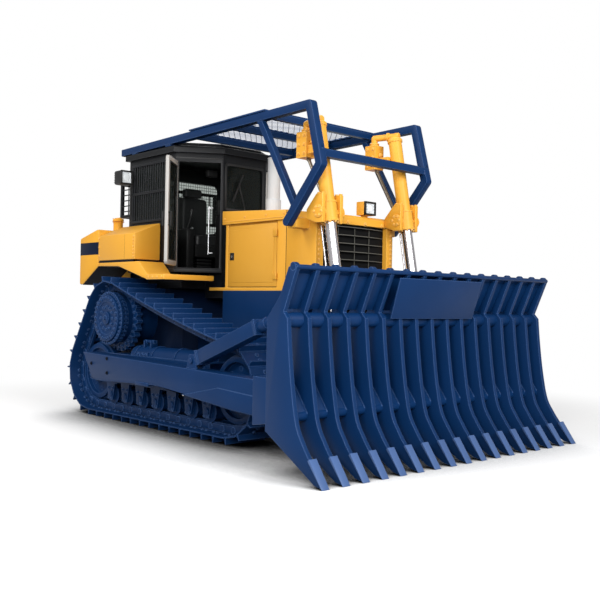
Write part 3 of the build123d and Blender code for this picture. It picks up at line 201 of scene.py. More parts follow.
def tinted_glass(name, colour, painted_reflection):
    """Laminated cab glass: mostly clear and slightly tinted, with a reflecting face whose grey base colour is painted
    reflection over its real gloss.
    """
    m, _ = new_material(name)
    clear = add(m, "BsdfTransparent", Color=linear(colour))
    # its grey base colour is painted reflection; the gloss over it is real
    shine = add(m, "BsdfPrincipled", Base_Color=linear(painted_reflection), Roughness=0.03, IOR=LAMINATE_IOR)
    facing = add(m, "Fresnel", IOR=LAMINATE_IOR)
    share = add(m, "MapRange", Value=facing, To_Min=LEAST_SHINE, To_Max=1.0)
    both = add(m, "MixShader", i0=share, i1=clear, i2=shine)
    add(m, "OutputMaterial", out=None, Surface=both)
    return m


# enamels: name, darker and lighter tone, roughness, strength of the peel
# the edge colours given in the enamels below are painted highlights along the edges
YELLOW = enamel("machine_yellow_enamel", "E3A030", "EDAE3E", 0.42, 0.2, edge_highlight="F8C876")
TANK_YELLOW = enamel("tank_enamel_with_band", "E3A030", "EDAE3E", 0.42, 0.2, shine=0.15, edge_highlight="F8C876",
                     band="04122B")
# a darker copy of the yellow: painted shade on the engine doors
SHADED_DOOR_YELLOW = enamel("engine_door_enamel_painted_shade", "D49830", "DEA23A", 0.45, 0.2)
NAVY = enamel("navy_chassis_enamel", "062850", "0A305E", 0.44, 0.35, shine=0.14, edge_highlight="4A6797", grime="141C2A",
              grime_height=0.35)
# a lighter copy of the navy: painted highlight on the rake's teeth
LIT_NAVY = enamel("tooth_enamel_painted_lighter", "3A5482", "4C6796", 0.4, 0.35)
# a darker copy of the navy: painted shade on the rear case
SHADED_NAVY = enamel("case_enamel_painted_darker", "040F22", "081B38", 0.55, 0.35, shine=0.12)
# dark enamel: painted shade on the sheets under the tank and fenders, and the own colour of the panel seams and arm
# plugs
SHADE_SEAM_PLUG_DARK = enamel("dark_enamel_painted_shade_seams_plugs", "060B16", "0A1120", 0.65, 0.3, shine=0.15)
GREY = enamel("worn_grey_lip_enamel", "45443F", "6B6961", 0.5, 0.3)
SHADE_BLACK = enamel("matt_black_grille_enamel", "060607", "0B0B0C", 0.7, 0.2, shine=0.15)
BLACK = enamel("black_cab_enamel", "090A0C", "121418", 0.45, 0.25, shine=0.25, edge_highlight="3C3F45")
SILVER = enamel("silver_door_enamel", "A3A09C", "BCB9B4", 0.4, 0.2, shine=0.4, coat=0.1)
STACK = enamel("aluminised_stack_coating", "BDC0C2", "CACCCE", 0.5, 0.3, shine=0.4)
# metals and mouldings: name, colour, roughness, cells of grain per metre
CHROME = metal("hard_chrome_plate", "CAC7CA", 0.27, 6.0, depth=1e-6, swing=0.05)
STEEL = metal("zinc_plated_steel", "B9BABC", 0.32, 90.0)
TUBE_STEEL = metal("tarnished_steel_tube", "857B6C", 0.42, 40.0, swing=0.15)
IRON = metal("dark_cast_iron", "2A2B2E", 0.6, 120.0, depth=0.0008)
PLASTIC = moulded("black_moulded_plastic", "0B0B0C", 0.5)
RUBBER = moulded("black_weather_rubber", "070707", 0.62, 180.0)
VINYL = moulded("black_seat_vinyl", "101113", 0.5, 190.0, depth=0.0005, sheen=0.1)
BOWL = moulded("silvered_lamp_bowl", "BFC3C6", 0.25, 150.0, depth=0.0002)
LENS = moulded("frosted_lamp_lens", "E9EEF0", 0.16, 120.0, depth=0.0006)
GLASS = tinted_glass("tinted_cab_glass", "E2E7E4", "303432")

# ---- mesh helpers
SHARP, CRISP = 26, 30  # degrees between two faces from which an edge stays a crease, or is rounded
WELD, FLAT = 0.00002, 0.6  # metres between merged points, degrees between merged faces
FINE, SOFT, ROUND = 0.003, 0.004, 0.006  # edge radii of small parts
# bolt heads, across their corners
M10, M12, M13, M14, M16, M18, M20, M24, M30 = 0.018, 0.02, 0.022, 0.024, 0.026, 0.03, 0.034, 0.04, 0.05


def stand(name, mesh, material):
    """Turns a bmesh into an object of one material."""
    data = bpy.data.meshes.new(name)
    mesh.to_mesh(data)
    mesh.free()
    data.materials.append(material)
    return put(name, data)


def piece(name, mesh, material, body="machine", sharp=SHARP):
    """Turns a bmesh into a smooth piece that rides on a body, creased where two faces turn by more than `sharp`."""
    for face in mesh.faces:
        face.smooth = True
    for edge in mesh.edges:
        if len(edge.link_faces) == 2:
            edge.smooth = edge.calc_face_angle(0.0) < math.radians(sharp)
    made = stand(name, mesh, material)
    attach(made, body)
    return made


def at(x, y, z):
    """A place or a step as a vector."""
    return Vector((x, y, z))


def soften(mesh, edges, width):
    """Rounds edges."""
    bmesh.ops.bevel(mesh, geom=list(edges), offset=width, offset_type="OFFSET", affect="EDGES", segments=2,
                    profile=0.5, material=-1)


def block(mesh, place, edge):
    """A unit cube put in its place, its edges rounded."""
    made = bmesh.ops.create_cube(mesh, size=1, matrix=place)["verts"]
    if edge:
        soften(mesh, {e for v in made for e in v.link_edges}, edge)


def cuboid(mesh, low, high, edge=0):
    """A box between two corners."""
    low, high = Vector(low), Vector(high)
    size = [abs(v) for v in high - low]
    block(mesh, Matrix.Translation((low + high) / 2) @ Matrix.Diagonal((*size, 1)), edge)


def along(start, end):
    """A turn and place that takes +Z, centred, to the run from start to end, and the run's length."""
    start, end = Vector(start), Vector(end)
    turn = (end - start).to_track_quat("Z", "Y").to_matrix().to_4x4()
    return Matrix.Translation((start + end) / 2) @ turn, (end - start).length


def flat_bar(mesh, start, end, wide, deep, edge=0):
    """A rectangular bar: `wide` across its own X, `deep` across its own Y."""
    place, length = along(start, end)
    block(mesh, place @ Matrix.Diagonal((wide, deep, length, 1)), edge)


def bar(mesh, start, end, radius, segments=20, tip=None, edge=0):
    """A round bar, or a cone if its tip's radius is given."""
    place, length = along(start, end)
    made = bmesh.ops.create_cone(mesh, cap_ends=True, segments=segments, radius1=radius,
                                 radius2=radius if tip is None else tip, depth=length, matrix=place)
    if edge:
        ends = {e for v in made["verts"] for e in v.link_edges if any(len(f.verts) > 4 for f in e.link_faces)}
        soften(mesh, ends, edge)


def bolt(mesh, place, outward, size):
    """A hexagon head on a washer, `size` across its corners."""
    washer, top = place + outward * size * 0.12, place + outward * size * 0.6
    bar(mesh, place, washer, size * 0.75, 14)
    bar(mesh, washer, top, size / 2, 6)


def row(count, first, step):
    """Places in even steps along a line."""
    return [Vector(first) + Vector(step) * i for i in range(count)]


def ring(centre, count, radius, start=0.0, u=X, v=Z):
    """Places evenly round a circle, which lies in the XZ plane unless told otherwise."""
    turns = (start + 2 * math.pi * i / count for i in range(count))
    return [centre + (u * math.cos(a) + v * math.sin(a)) * radius for a in turns]


def bars(mesh, places, run, radius, segments, edge=0):
    """Parallel round bars, one from each place."""
    for place in places:
        bar(mesh, place, place + run, radius, segments, edge=edge)


def bolts(mesh, places, outward, size):
    """A bolt at each place."""
    for place in places:
        bolt(mesh, place, outward, size)


def bolted_cap(mesh, place, rise, radius, segments, count, circle, size, start=0.0):
    """A round cap with a ring of bolts on its face."""
    bar(mesh, place, place + rise, radius, segments, edge=SOFT)
    bolts(mesh, ring(place + rise, count, circle, start), rise.normalized(), size)


def strip(mesh, points, wide, deep):
    """A flat bar bent through the points."""
    for start, end in zip(points, points[1:]):
        flat_bar(mesh, start, end, wide, deep)


def dress(node, material, edge):
    """Stands a merged copy of a CAD node in its place, with its crisp edges rounded by `edge`."""
    mesh = bmesh.new()
    mesh.from_mesh(NODES[node].data)
    bmesh.ops.remove_doubles(mesh, verts=mesh.verts, dist=WELD)
    bmesh.ops.dissolve_limit(mesh, angle_limit=math.radians(FLAT), verts=mesh.verts, edges=mesh.edges)
    if edge:
        soften(mesh, [e for e in mesh.edges if e.is_manifold and e.calc_face_angle(0.0) > math.radians(CRISP)], edge)
    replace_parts(piece(node + "_skin", mesh, material, NODES[node]["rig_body"]), node)


# ---- dressed solids
# finish, record slot, and each node with its edge radius; in the second table, nodes with a right and a left
DRESSED = (
    (NAVY, "navy_paint", {"main_frame": 0.006, "drawbar": 0.004, "sweeps_frame": 0.009, "rake_beams": 0.01,
                          "rake_plate": 0.003}),
    (SHADED_NAVY, "navy_paint", {"rear_case": 0.03}),
    (LIT_NAVY, "navy_paint", {"rake_teeth": 0.0015}),
    (TANK_YELLOW, "yellow_paint", {"fuel_tank": 0.022}),
    (YELLOW, "yellow_paint", {"hood_top": 0.005, "engine_frame": 0.003, "radiator_guard": 0.008, "head_lamp": 0.008}),
    (BLACK, "black_paint", {"cab_base": 0.01, "cab_floor": 0.004, "cab_body": 0.004, "cab_roof": 0, "cab_cowl": 0.006}),
    (SHADE_BLACK, "black_paint", {"grille": 0}),
    (PLASTIC, "black_plastic", {"consoles": 0.015}),
    (STACK, "stack_steel", {"exhaust_stack": 0}),
)
DRESSED_PAIRS = (
    (NAVY, "navy_paint", {"track": 0.0025, "track_frame": 0, "final_drive": 0.006, "sprocket": 0, "idlers": 0.004,
                          "rollers": 0.003, "push_arm": 0.008, "strut": 0.006}),
    (YELLOW, "yellow_paint", {"fender": 0.012, "platform": 0.005, "cylinder_yoke": 0.01, "cylinder_barrel": 0}),
    (SHADED_DOOR_YELLOW, "yellow_paint", {"engine_door": 0.004}),
    (SILVER, "grey_paint", {"cab_door": 0.003}),
    (CHROME, "chrome", {"cylinder_rod": 0}),
)
for table, endings in ((DRESSED, ("",)), (DRESSED_PAIRS, ("_right", "_left"))):
    for finish, slot, radii in table:
        for stem, radius in radii.items():
            for ending in endings:
                dress(stem + ending, finish, radius)
# nodes that already have their real shape only take their finish
for finish, nodes in ((IRON, "engine_block radiator_core"), (GLASS, "cab_glass door_glass_left door_glass_right")):
    for node in nodes.split():
        slots = NODES[node].data.materials
        slots.clear()
        slots.append(finish)

# ---- places, as in the part
AXLE_X, AXLE_Z = -1.89, 1.31
TRACK_Y = 1.0415
IDLER_LOOP_R, SPROCKET_LOOP_R, TOP_SAG = 0.5, 0.484, 0.045
SHOE_PITCH, SHOE_T = 0.216, 0.016
CHAIN_OUT = 0.108  # outer face of the links, from the chain's middle
FRAME_HALF = 0.176
IDLER_Z, REAR_IDLER_X, FRONT_IDLER_X = 0.581, AXLE_X - 0.4406, AXLE_X + 2.64
ROLLER_Z, ROLLERS, ROLLER_FIRST_X, ROLLER_STEP = 0.3014, 7, AXLE_X + 0.0223, 0.3592
HUB_OUT_Y, HUB_R = 1.3, 0.326
RECOIL_Z, CLEVIS_Y = 0.83, 0.03
FENDER_OUT_Y, FENDER_IN_Y, FENDER_FRONT_X = 1.25, 0.87, AXLE_X + 0.61
TANK_SIDE_Y, TANK_SEAM_X, TANK_REAR_X = 0.75, AXLE_X - 0.33, AXLE_X - 0.85
CAB_REAR_X, CAB_SIDE_Y = AXLE_X - 0.2, 0.86
CAB_CORNER_X, CAB_FRONT_X, CAB_FRONT_Y = AXLE_X + 0.92, AXLE_X + 1.255, 0.354
LEAF_START, LEAF_END, LEAF_LOW, LEAF_HIGH = 0.054, 0.5688, 1.998, 3.322  # along the leaf from its hinge corner, and up
LEAF_STILE, LEAF_FACE, DOOR_PIN_OUT = 0.06, 0.006, 0.0143
DOOR_TURN = {"left": 0.0, "right": -103.0}  # degrees from shut, at rest
HOOD_REAR_X, HOOD_Y, HOOD_OUT_Y, HOOD_LIP_Z = AXLE_X + 1.49, 0.5, 0.528, 2.548
GUARD_REAR_X, GUARD_FRONT_X, GUARD_Y, GUARD_FLARE = AXLE_X + 2.71, AXLE_X + 3.31, 0.62, 0.1533
DOOR_REAR_X, DOOR_FRONT_X, DOOR_LOW_Z, DOOR_TOP_Z = AXLE_X + 1.592, AXLE_X + 2.512, 1.742, 2.49
GRILLE_LOW, GRILLE_HIGH, GRILLE_HALF, GRILLE_BOW, GRILLE_BARS = 1.38, 2.45, 0.5097, 0.055, 12
STACK_X = AXLE_X + 1.85
PIVOT_Z, ARM_IN_Y, ARM_OUT_Y, ARM_FRONT_X = 0.72, 1.365, 1.59, AXLE_X + 3.55
STRUT_Y = (ARM_IN_Y + ARM_OUT_Y) / 2
STRUT_LOW, STRUT_HIGH = at(AXLE_X + 2.33, 0, 0.902), at(AXLE_X + 4.08, 0, 1.545)
CYL_Y, YOKE, EYE = 0.62, at(AXLE_X + 3.5, 0, 2.53), at(AXLE_X + 3.79, 0, 1.02)
DOWN = (EYE - YOKE).normalized()
CYL_BACK = at(DOWN.z, 0, -DOWN.x)  # square to the cylinder, towards the cab
EAR_OUT, CHEEK_OUT = 0.101, 0.156  # outer faces of the rake's ears and the yoke's cheeks, from the cylinder's middle
SWEEP_Y, TUBE = 0.85, 0.094
RAIL_REAR, RAIL_TOP = at(AXLE_X - 0.38, 0, 3.59), at(AXLE_X + 3.44, 0, 3.652)
SCREEN_REAR_X, SCREEN_FRONT_X, SCREEN_ROWS, SCREEN_CELLS = AXLE_X + 1.27, AXLE_X + 2.74, 14, 9
TINES, TINE_PITCH, TINE_T, TINE_REAR_X = 17, 0.247, 0.045, AXLE_X + 4.15
RAKE_Y = (TINES - 1) / 2 * TINE_PITCH
# from the tines' straight rear edge, and up: the curved front edge from the tip, then the bent head and the rear edge
TINE_FRONT = ((0.77, 0), (0.59, 0.22), (0.5, 0.34), (0.41, 0.5), (0.345, 0.81), (0.3, 1.15), (0.275, 1.42))
TINE_BACK = ((0.225, 1.475), (0.386, 1.862), (0.372, 1.88), (0.28, 1.87), (0.175, 1.62), (0, 1.41), (0, 0.4),
             (0.655, 0.02))


# ---- undercarriage
def tangent_angle(xa, za, ra, xb, zb, rb):
    """Where the chain leaves one wheel for the next, as an angle round both."""
    run = math.hypot(xb - xa, zb - za)
    return math.atan2(zb - za, xb - xa) - math.acos((ra - rb) / run)


def chain_pins():
    """The chain's pins, in equal steps along the loop round the two idlers and the toothed ring."""
    wheels = (
        (REAR_IDLER_X, IDLER_Z, IDLER_LOOP_R, 0.0),
        (FRONT_IDLER_X, IDLER_Z, IDLER_LOOP_R, TOP_SAG),
        (AXLE_X, AXLE_Z, SPROCKET_LOOP_R, 0.0),
    )
    arc_steps, run_steps = 40, 60
    path = []
    for i, (xa, za, ra, sag) in enumerate(wheels):
        xp, zp, rp, _ = wheels[i - 1]
        xb, zb, rb, _ = wheels[(i + 1) % 3]
        start = tangent_angle(xp, zp, rp, xa, za, ra)
        end = tangent_angle(xa, za, ra, xb, zb, rb)
        while end < start:
            end += 2 * math.pi
        for k in range(arc_steps + 1):
            a = start + (end - start) * k / arc_steps
            path.append(at(xa + ra * math.cos(a), 0, za + ra * math.sin(a)))
        last = at(xb + rb * math.cos(end), 0, zb + rb * math.sin(end))
        first = path[-1]
        for k in range(1, run_steps):
            t = k / run_steps
            path.append(first.lerp(last, t) - Z * 4 * sag * t * (1 - t))
    lengths = [0.0]
    for a, b in zip(path, path[1:] + path[:1]):
        lengths.append(lengths[-1] + (b - a).length)
    count = round(lengths[-1] / SHOE_PITCH)
    pins, k = [], 0
    for i in range(count):
        s = lengths[-1] * i / count
        while lengths[k + 1] < s:
            k += 1
        pins.append(path[k].lerp(path[(k + 1) % len(path)], (s - lengths[k]) / (lengths[k + 1] - lengths[k])))
    return pins


def make_chain(word, side):
    """Link straps, pin bosses and the shoes' bolts, on the plain chain."""
    pin_in, boss_out = 0.06, CHAIN_OUT + 0.022
    strap_t, strap_wide, stagger = 0.014, 0.078, 0.007
    shoe_bolt_y, link_bolt_y = 0.085, 0.145
    links, bolt_heads = bmesh.new(), bmesh.new()
    middle = Y * side * TRACK_Y
    pins = chain_pins()
    for i, pin in enumerate(pins):
        run = pins[(i + 1) % len(pins)] - pin
        out = at(run.z, 0, -run.x).normalized()
        pin = middle + pin
        a = pin - out * pin_in
        bar(links, a - Y * boss_out, a + Y * boss_out, 0.036, 14)
        for face in (-Y, Y):
            strap = a + face * (CHAIN_OUT + 0.004 + stagger * (i % 2))
            flat_bar(links, strap - run * 0.1, strap + run * 1.1, strap_t, strap_wide, SOFT)
            for share in (0.42, 0.78):
                bolt(bolt_heads, pin + run * share + face * shoe_bolt_y + out * SHOE_T, out, M20)
                bolt(bolt_heads, pin + run * share + face * link_bolt_y - out * 0.001, -out, M18)
    piece(f"chain_links_{word}", links, NAVY)
    piece(f"shoe_bolts_{word}", bolt_heads, NAVY)


def make_undercarriage(word, side):
    """Flange, caps, clamps and bolts of the final drive, toothed ring, idlers, rollers and recoil housing."""
    fit = bmesh.new()
    face = Y * side
    middle = face * TRACK_Y
    axle = at(AXLE_X, 0, AXLE_Z)
    # final drive: flange and rim bolts, studs round the drum, hub bolts and cap
    flange = axle + face * (HUB_OUT_Y - 0.04)
    bar(fit, flange - face * 0.03, flange, HUB_R + 0.026, 72, edge=0.005)
    bolts(fit, ring(flange, 36, HUB_R + 0.006), face, M18)
    hub = axle + face * HUB_OUT_Y
    bolts(fit, ring(hub, 24, HUB_R - 0.056), face, M18)
    bars(fit, ring(hub - face * 0.135, 36, HUB_R + 0.008), face * 0.065, 0.016, 10)
    recess, cap = hub - face * 0.014, hub + face * 0.006
    bolts(fit, ring(recess, 12, 0.15), face, M18)
    bar(fit, recess, cap, 0.085, 32, edge=0.005)
    bolt(fit, cap, face, M30)
    # toothed ring's segment bolts
    bolts(fit, ring(axle + middle + face * 0.04, 27, 0.365), face, M18)
    # idlers: end caps, and the bars between their flanges
    bar_half = CHAIN_OUT - 0.058
    for x in (REAR_IDLER_X, FRONT_IDLER_X):
        centre = at(x, 0, IDLER_Z) + middle
        for out in (-Y, Y):
            bolted_cap(fit, centre + out * FRAME_HALF, out * 0.022, 0.088, 28, 6, 0.062, M16)
        bars(fit, ring(centre + Y * bar_half, 8, 0.24), Y * -2 * bar_half, 0.03, 14)
    # rollers: end caps, each between four bolts
    for centre in row(ROLLERS, (ROLLER_FIRST_X, side * TRACK_Y, ROLLER_Z), X * ROLLER_STEP):
        for out in (-Y, Y):
            cap = centre + out * FRAME_HALF
            bar(fit, cap, cap + out * 0.016, 0.05, 24, edge=FINE)
            for half, z in ((0.034, -0.045), (0.0476, 0.09)):
                bolts(fit, row(2, cap + out * 0.001 + at(-half, 0, z), X * 2 * half), out, M16)
    # recoil housing: clamp bands, and the clevis with its bolted pad between them
    housing = middle + Z * RECOIL_Z
    bars(fit, [housing + X * (x - 0.02) for x in (-1.34, -0.95, -0.45, 0.05)], X * 0.04, 0.152, 40, edge=SOFT)
    for x in (-1.22, -1.07):
        cheek = housing + at(x, side * CLEVIS_Y, 0)
        flat_bar(fit, cheek + Z * 0.1, cheek + Z * 0.215, 0.03, 0.1, SOFT)
    pin = housing + at(-1.255, side * CLEVIS_Y, 0.2)
    bar(fit, pin, pin + X * 0.22, 0.024, 16)
    cuboid(fit, housing + at(-1.27, side * 0.1, -0.03), housing + at(-1.02, side * 0.15, 0.07), ROUND)
    bolts(fit, row(3, housing + at(-1.23, side * 0.15, 0.03), X * 0.085), face, M24)
    piece(f"undercarriage_fittings_{word}", fit, NAVY)


# ---- push arms and rake
def make_arm_fittings(word, side):
    """Wear pad, end plate and inspection plugs of a push arm; collars, pins and ears of its strut."""
    face, outer = Y * side, Y * side * ARM_OUT_Y
    fit = bmesh.new()
    cuboid(fit, outer + at(AXLE_X + 1.26, side * 0.008, 0.552), outer + at(AXLE_X + 1.53, side * -0.09, 0.592), SOFT)
    cuboid(fit, (ARM_FRONT_X - 0.03, side * (ARM_IN_Y - 0.006), PIVOT_Z - 0.29),
           (ARM_FRONT_X + 0.012, side * (ARM_OUT_Y + 0.014), PIVOT_Z + 0.072), SOFT)
    low, high = STRUT_LOW + face * STRUT_Y, STRUT_HIGH + face * STRUT_Y
    run = (high - low).normalized()
    collar_half, pin_half = 0.011, 0.085
    for reach, wide in ((0.11, 0.166), (0.135, 0.158), (1.168, 0.166), (1.14, 0.158)):
        flat_bar(fit, low + run * (reach - collar_half), low + run * (reach + collar_half), wide, wide, SOFT)
    bar(fit, low + run * 1.18, low + run * 1.3, 0.066, 24, edge=ROUND)
    bar(fit, low - Y * pin_half, low + Y * pin_half, 0.03, 20, edge=SOFT)
    bar(fit, high - Y * pin_half, high + Y * pin_half, 0.042, 24, edge=0.005)
    for way in (-1, 1):
        cuboid(fit, high + at(-0.09, way * 0.064, -0.13), high + at(0.068, way * 0.086, 0.075), ROUND)
    piece(f"arm_fittings_{word}", fit, NAVY, "blade")
    plugs = bmesh.new()
    for x, z in ((0.18, 0.737), (0.572, 0.819), (0.579, 0.641)):
        seat = outer + at(AXLE_X + x, side * 0.003, z)
        bar(plugs, seat - face * 0.005, seat, 0.024, 20, edge=0.001)
        bolt(plugs, seat, face, M14)
    piece(f"arm_plugs_{word}", plugs, SHADE_SEAM_PLUG_DARK, "blade")


def make_rake_pins(word, side):
    """Pin caps and keeper bolts outside the ears that hold a lift rod's eye."""
    fit = bmesh.new()
    for out in (-Y, Y):
        bolted_cap(fit, EYE + Y * side * CYL_Y + out * EAR_OUT, out * 0.018, 0.062, 32, 3, 0.04, M14, start=0.5)
    piece(f"rake_pin_caps_{word}", fit, NAVY, "blade")


def curve_through(points, steps):
    """Points on a smooth curve through the given ones, their ends kept straight."""
    points = [Vector(p) for p in points]
    padded = [points[0] * 2 - points[1], *points, points[-1] * 2 - points[-2]]
    out = []
    for a, b, c, d in zip(padded, padded[1:], padded[2:], padded[3:]):
        for k in range(steps):
            t = k / steps
            square, cube = 2 * a - 5 * b + 4 * c - d, 3 * b - a - 3 * c + d
            out.append(0.5 * (2 * b + (c - a) * t + square * t**2 + cube * t**3))
    return out + [points[-1]]


def make_rake():
    """Tines with curved front edges, their knobs, the beam's rounded nose and the strips under the top bar."""
    mesh = bmesh.new()
    outline = [*curve_through(TINE_FRONT, 6), *(Vector(p) for p in TINE_BACK)]
    proud = 0.002  # each side, past the faces of the tube and beam that end in the outer tines
    middles = row(TINES, (TINE_REAR_X, -RAKE_Y, 0), Y * TINE_PITCH)
    for middle in middles:
        flat = [mesh.verts.new(middle + at(p.x, -TINE_T / 2 - proud, p.y)) for p in outline]
        made = bmesh.ops.extrude_face_region(mesh, geom=[mesh.faces.new(flat)])["geom"]
        far = [v for v in made if isinstance(v, bmesh.types.BMVert)]
        bmesh.ops.translate(mesh, verts=far, vec=Y * (TINE_T + 2 * proud))
        rim = {e for v in flat + far for e in v.link_edges if len({round(w.co.y, 4) for w in e.verts}) == 1}
        soften(mesh, rim, ROUND)
        knob, half = middle + at(0.338, 0, 1.874), Y * (TINE_T / 2 + 2 * proud)
        bar(mesh, knob - half, knob + half, 0.037, 24, edge=0.005)
    bmesh.ops.recalc_face_normals(mesh, faces=mesh.faces)
    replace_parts(piece("rake_tine_plates", mesh, NAVY, "blade"), "rake_tines")
    trim = bmesh.new()
    nose = at(TINE_REAR_X + 0.256, 0, 0.548)
    bar(trim, nose - Y * RAKE_Y, nose + Y * RAKE_Y, 0.046, 28)
    for middle in middles[:-1]:
        gap = middle + Y * (TINE_PITCH / 2 + 0.018)
        wide = TINE_PITCH - TINE_T - 0.036
        flat_bar(trim, gap + at(0.288, 0, 1.815), gap + at(0.352, 0, 1.866), wide, 0.012, 0.002)
    # weld beads where the beam meets the tines, but not outside the outer ones
    for middle in middles:
        for way in (-1, 1):
            foot = middle + Y * way * (TINE_T / 2 + 0.003)
            if abs(foot.y) < RAKE_Y:
                bar(trim, foot + at(0.295, 0, 0.572), foot + at(0.062, 0, 0.882), 0.006, 8)
    piece("rake_trim", trim, NAVY, "blade")


# ---- bodywork
def make_stack():
    """The pipe's thicker foot, its clamp and the rain lip at its mouth."""
    mesh = bmesh.new()
    for low, high, radius, edge in ((2.64, 2.85, 0.094, ROUND), (2.69, 2.72, 0.1, FINE), (3.365, 3.379, 0.084, FINE)):
        bar(mesh, (STACK_X, 0, low), (STACK_X, 0, high), radius, 40, edge=edge)
    bolt(mesh, at(STACK_X, -0.1, 2.705), -Y, M14)
    piece("stack_collars", mesh, STACK)


def make_painted_shade_sheets():
    """Painted shade: dark sheets under the tank and the fenders, over the tracks, and on the tank's front face, and the
    shadow gap along each fender.
    """
    mesh = bmesh.new()
    sheet, margin = 0.005, 0.02
    rear, seam = at(TANK_REAR_X + 0.09, 0, 1.757), at(TANK_SEAM_X, 0, 2.002)
    crown, front = at(AXLE_X + 0.197, 0, 1.99), at(AXLE_X + 0.9, 0, 1.8115)
    for side in (-1, 1):
        middle = Y * side * (FENDER_IN_Y + FENDER_OUT_Y - 0.012) / 2
        strip(mesh, [middle + p for p in (seam, crown, front)], FENDER_OUT_Y - FENDER_IN_Y - margin, sheet)
        middle = Y * side * (TANK_SIDE_Y + FENDER_OUT_Y) / 2
        strip(mesh, [middle + p for p in (rear, seam)], FENDER_OUT_Y - TANK_SIDE_Y - margin, sheet)
        cuboid(mesh, (AXLE_X + 0.91, side * 0.51, 1.8085), (AXLE_X + 1.285, side * 1.24, 1.8135))
        # shadow gap along the fender's side and front
        for x, y in ((TANK_SEAM_X + 0.01, 1.2105), (AXLE_X + 0.571, 0.885)):
            cuboid(mesh, (x, side * y, 2.0525), (AXLE_X + 0.598, side * 1.238, 2.0755))
    cuboid(mesh, (TANK_REAR_X + 0.03, -0.735, 1.7545), (TANK_SEAM_X, 0.735, 1.759))
    cuboid(mesh, (TANK_SEAM_X - 0.001, -0.745, 1.7545), (TANK_SEAM_X + 0.004, 0.745, 2.0))
    piece("painted_shade_under_fenders", mesh, SHADE_SEAM_PLUG_DARK)


def make_body_fittings():
    """Bolts of the fenders, platforms, hood and guard, the hood's bead, the filler's grip, and dark panel seams."""
    mesh, seams = bmesh.new(), bmesh.new()
    for side in (-1, 1):
        face, fender, hood = Y * side, side * FENDER_OUT_Y, side * HOOD_OUT_Y
        bolts(mesh, row(7, (FENDER_FRONT_X - 0.028, fender, 2.115), Z * 0.043), face, M12)
        bolts(mesh, row(3, (TANK_SEAM_X + 0.03, fender, 2.14), Z * 0.12), face, M10)
        bolts(mesh, row(4, (AXLE_X + 0.95, fender, 1.848), X * 0.1), face, M12)
        # rolled bead and bolts along the hood's lower edge
        bar(mesh, (HOOD_REAR_X + 0.02, hood, HOOD_LIP_Z), (GUARD_REAR_X - 0.02, hood, HOOD_LIP_Z - 0.002), 0.006, 10)
        bolts(mesh, [at(HOOD_REAR_X + x, hood, 2.585) for x in (0.05, 0.45, 0.85, 1.17)], face, M12)
        # the guard: a column of bolts beside the grille, and a row along its flared side
        bolts(mesh, row(12, (GUARD_FRONT_X, side * (GUARD_Y - 0.04), 1.76), Z * 0.055), X, M13)
        flared = [at(GUARD_REAR_X + x, side * (HOOD_OUT_Y + GUARD_FLARE * x), 1.735) for x in (0.08, 0.3, 0.52)]
        bolts(mesh, flared, face, M16)
        cuboid(seams, (GUARD_REAR_X - 0.003, side * HOOD_Y, 1.7),
               (GUARD_REAR_X + 0.0015, side * (HOOD_OUT_Y + 0.0008), 2.62))
        cuboid(seams, (AXLE_X + 0.36, side * 1.2495, 2.085), (AXLE_X + 0.3625, side * 1.2507, 2.4))
    bolts(mesh, row(4, (GUARD_FRONT_X, -0.42, 2.47), Y * 0.28), X, M18)
    filler = at(AXLE_X - 0.49, -0.86, 2.688)
    bars(mesh, ring(filler, 6, 0.07, v=Y), Z * 0.006, 0.01, 10)
    grip = filler + Z * 0.009
    flat_bar(mesh, grip - X * 0.05, grip + X * 0.05, 0.022, 0.014, FINE)
    piece("bodywork_bolts", mesh, YELLOW)
    piece("panel_seams", seams, SHADE_SEAM_PLUG_DARK)


def make_engine_door(word, side):
    """A pressed panel, and the black latch with its lock."""
    body = f"engine_door_{word}_body"
    skin, latch, key = bmesh.new(), bmesh.new(), bmesh.new()
    border, half_x, half_z = 0.05, 0.038, 0.046
    x, face, z = AXLE_X + 1.675, side * (HOOD_Y + 0.001), 2.115
    cuboid(skin, (DOOR_REAR_X + border, face - side * 0.003, DOOR_LOW_Z + border),
           (DOOR_FRONT_X - border, face + side * 0.004, DOOR_TOP_Z - border), 0.0035)
    cuboid(latch, (x - half_x, face + side * 0.003, z - half_z), (x + half_x, face + side * 0.013, z + half_z), 0.005)
    bar(key, (x, face + side * 0.011, z), (x, face + side * 0.016, z), 0.015, 24, edge=0.001)
    piece(f"engine_door_panel_{word}", skin, SHADED_DOOR_YELLOW, body)
    piece(f"engine_door_latch_{word}", latch, PLASTIC, body)
    piece(f"engine_door_lock_{word}", key, STEEL, body)


def make_grille():
    """Thin worn lips on the bowed bars, and upright stays."""
    lips = bmesh.new()
    radius = (GRILLE_HALF**2 + GRILLE_BOW**2) / (2 * GRILLE_BOW)
    centre = GUARD_FRONT_X - 0.005 - radius
    reach = math.asin(GRILLE_HALF / radius) * 0.985
    turns = [reach * (k / 6 - 1) for k in range(13)]
    step = (GRILLE_HIGH - GRILLE_LOW - 0.06) / (GRILLE_BARS - 1)
    for level in row(GRILLE_BARS, (centre, 0, GRILLE_LOW + 0.03), Z * step):
        strip(lips, [level + at((radius + 0.001) * math.cos(a), radius * math.sin(a), 0) for a in turns],
              0.004, 0.008)
    for y in (-0.25, 0.0, 0.25):
        x = centre + (radius - 0.02) * math.cos(math.asin(y / radius))
        flat_bar(lips, (x, y, GRILLE_LOW + 0.02), (x, y, GRILLE_HIGH - 0.02), 0.004, 0.006)
    piece("grille_lips", lips, GREY)


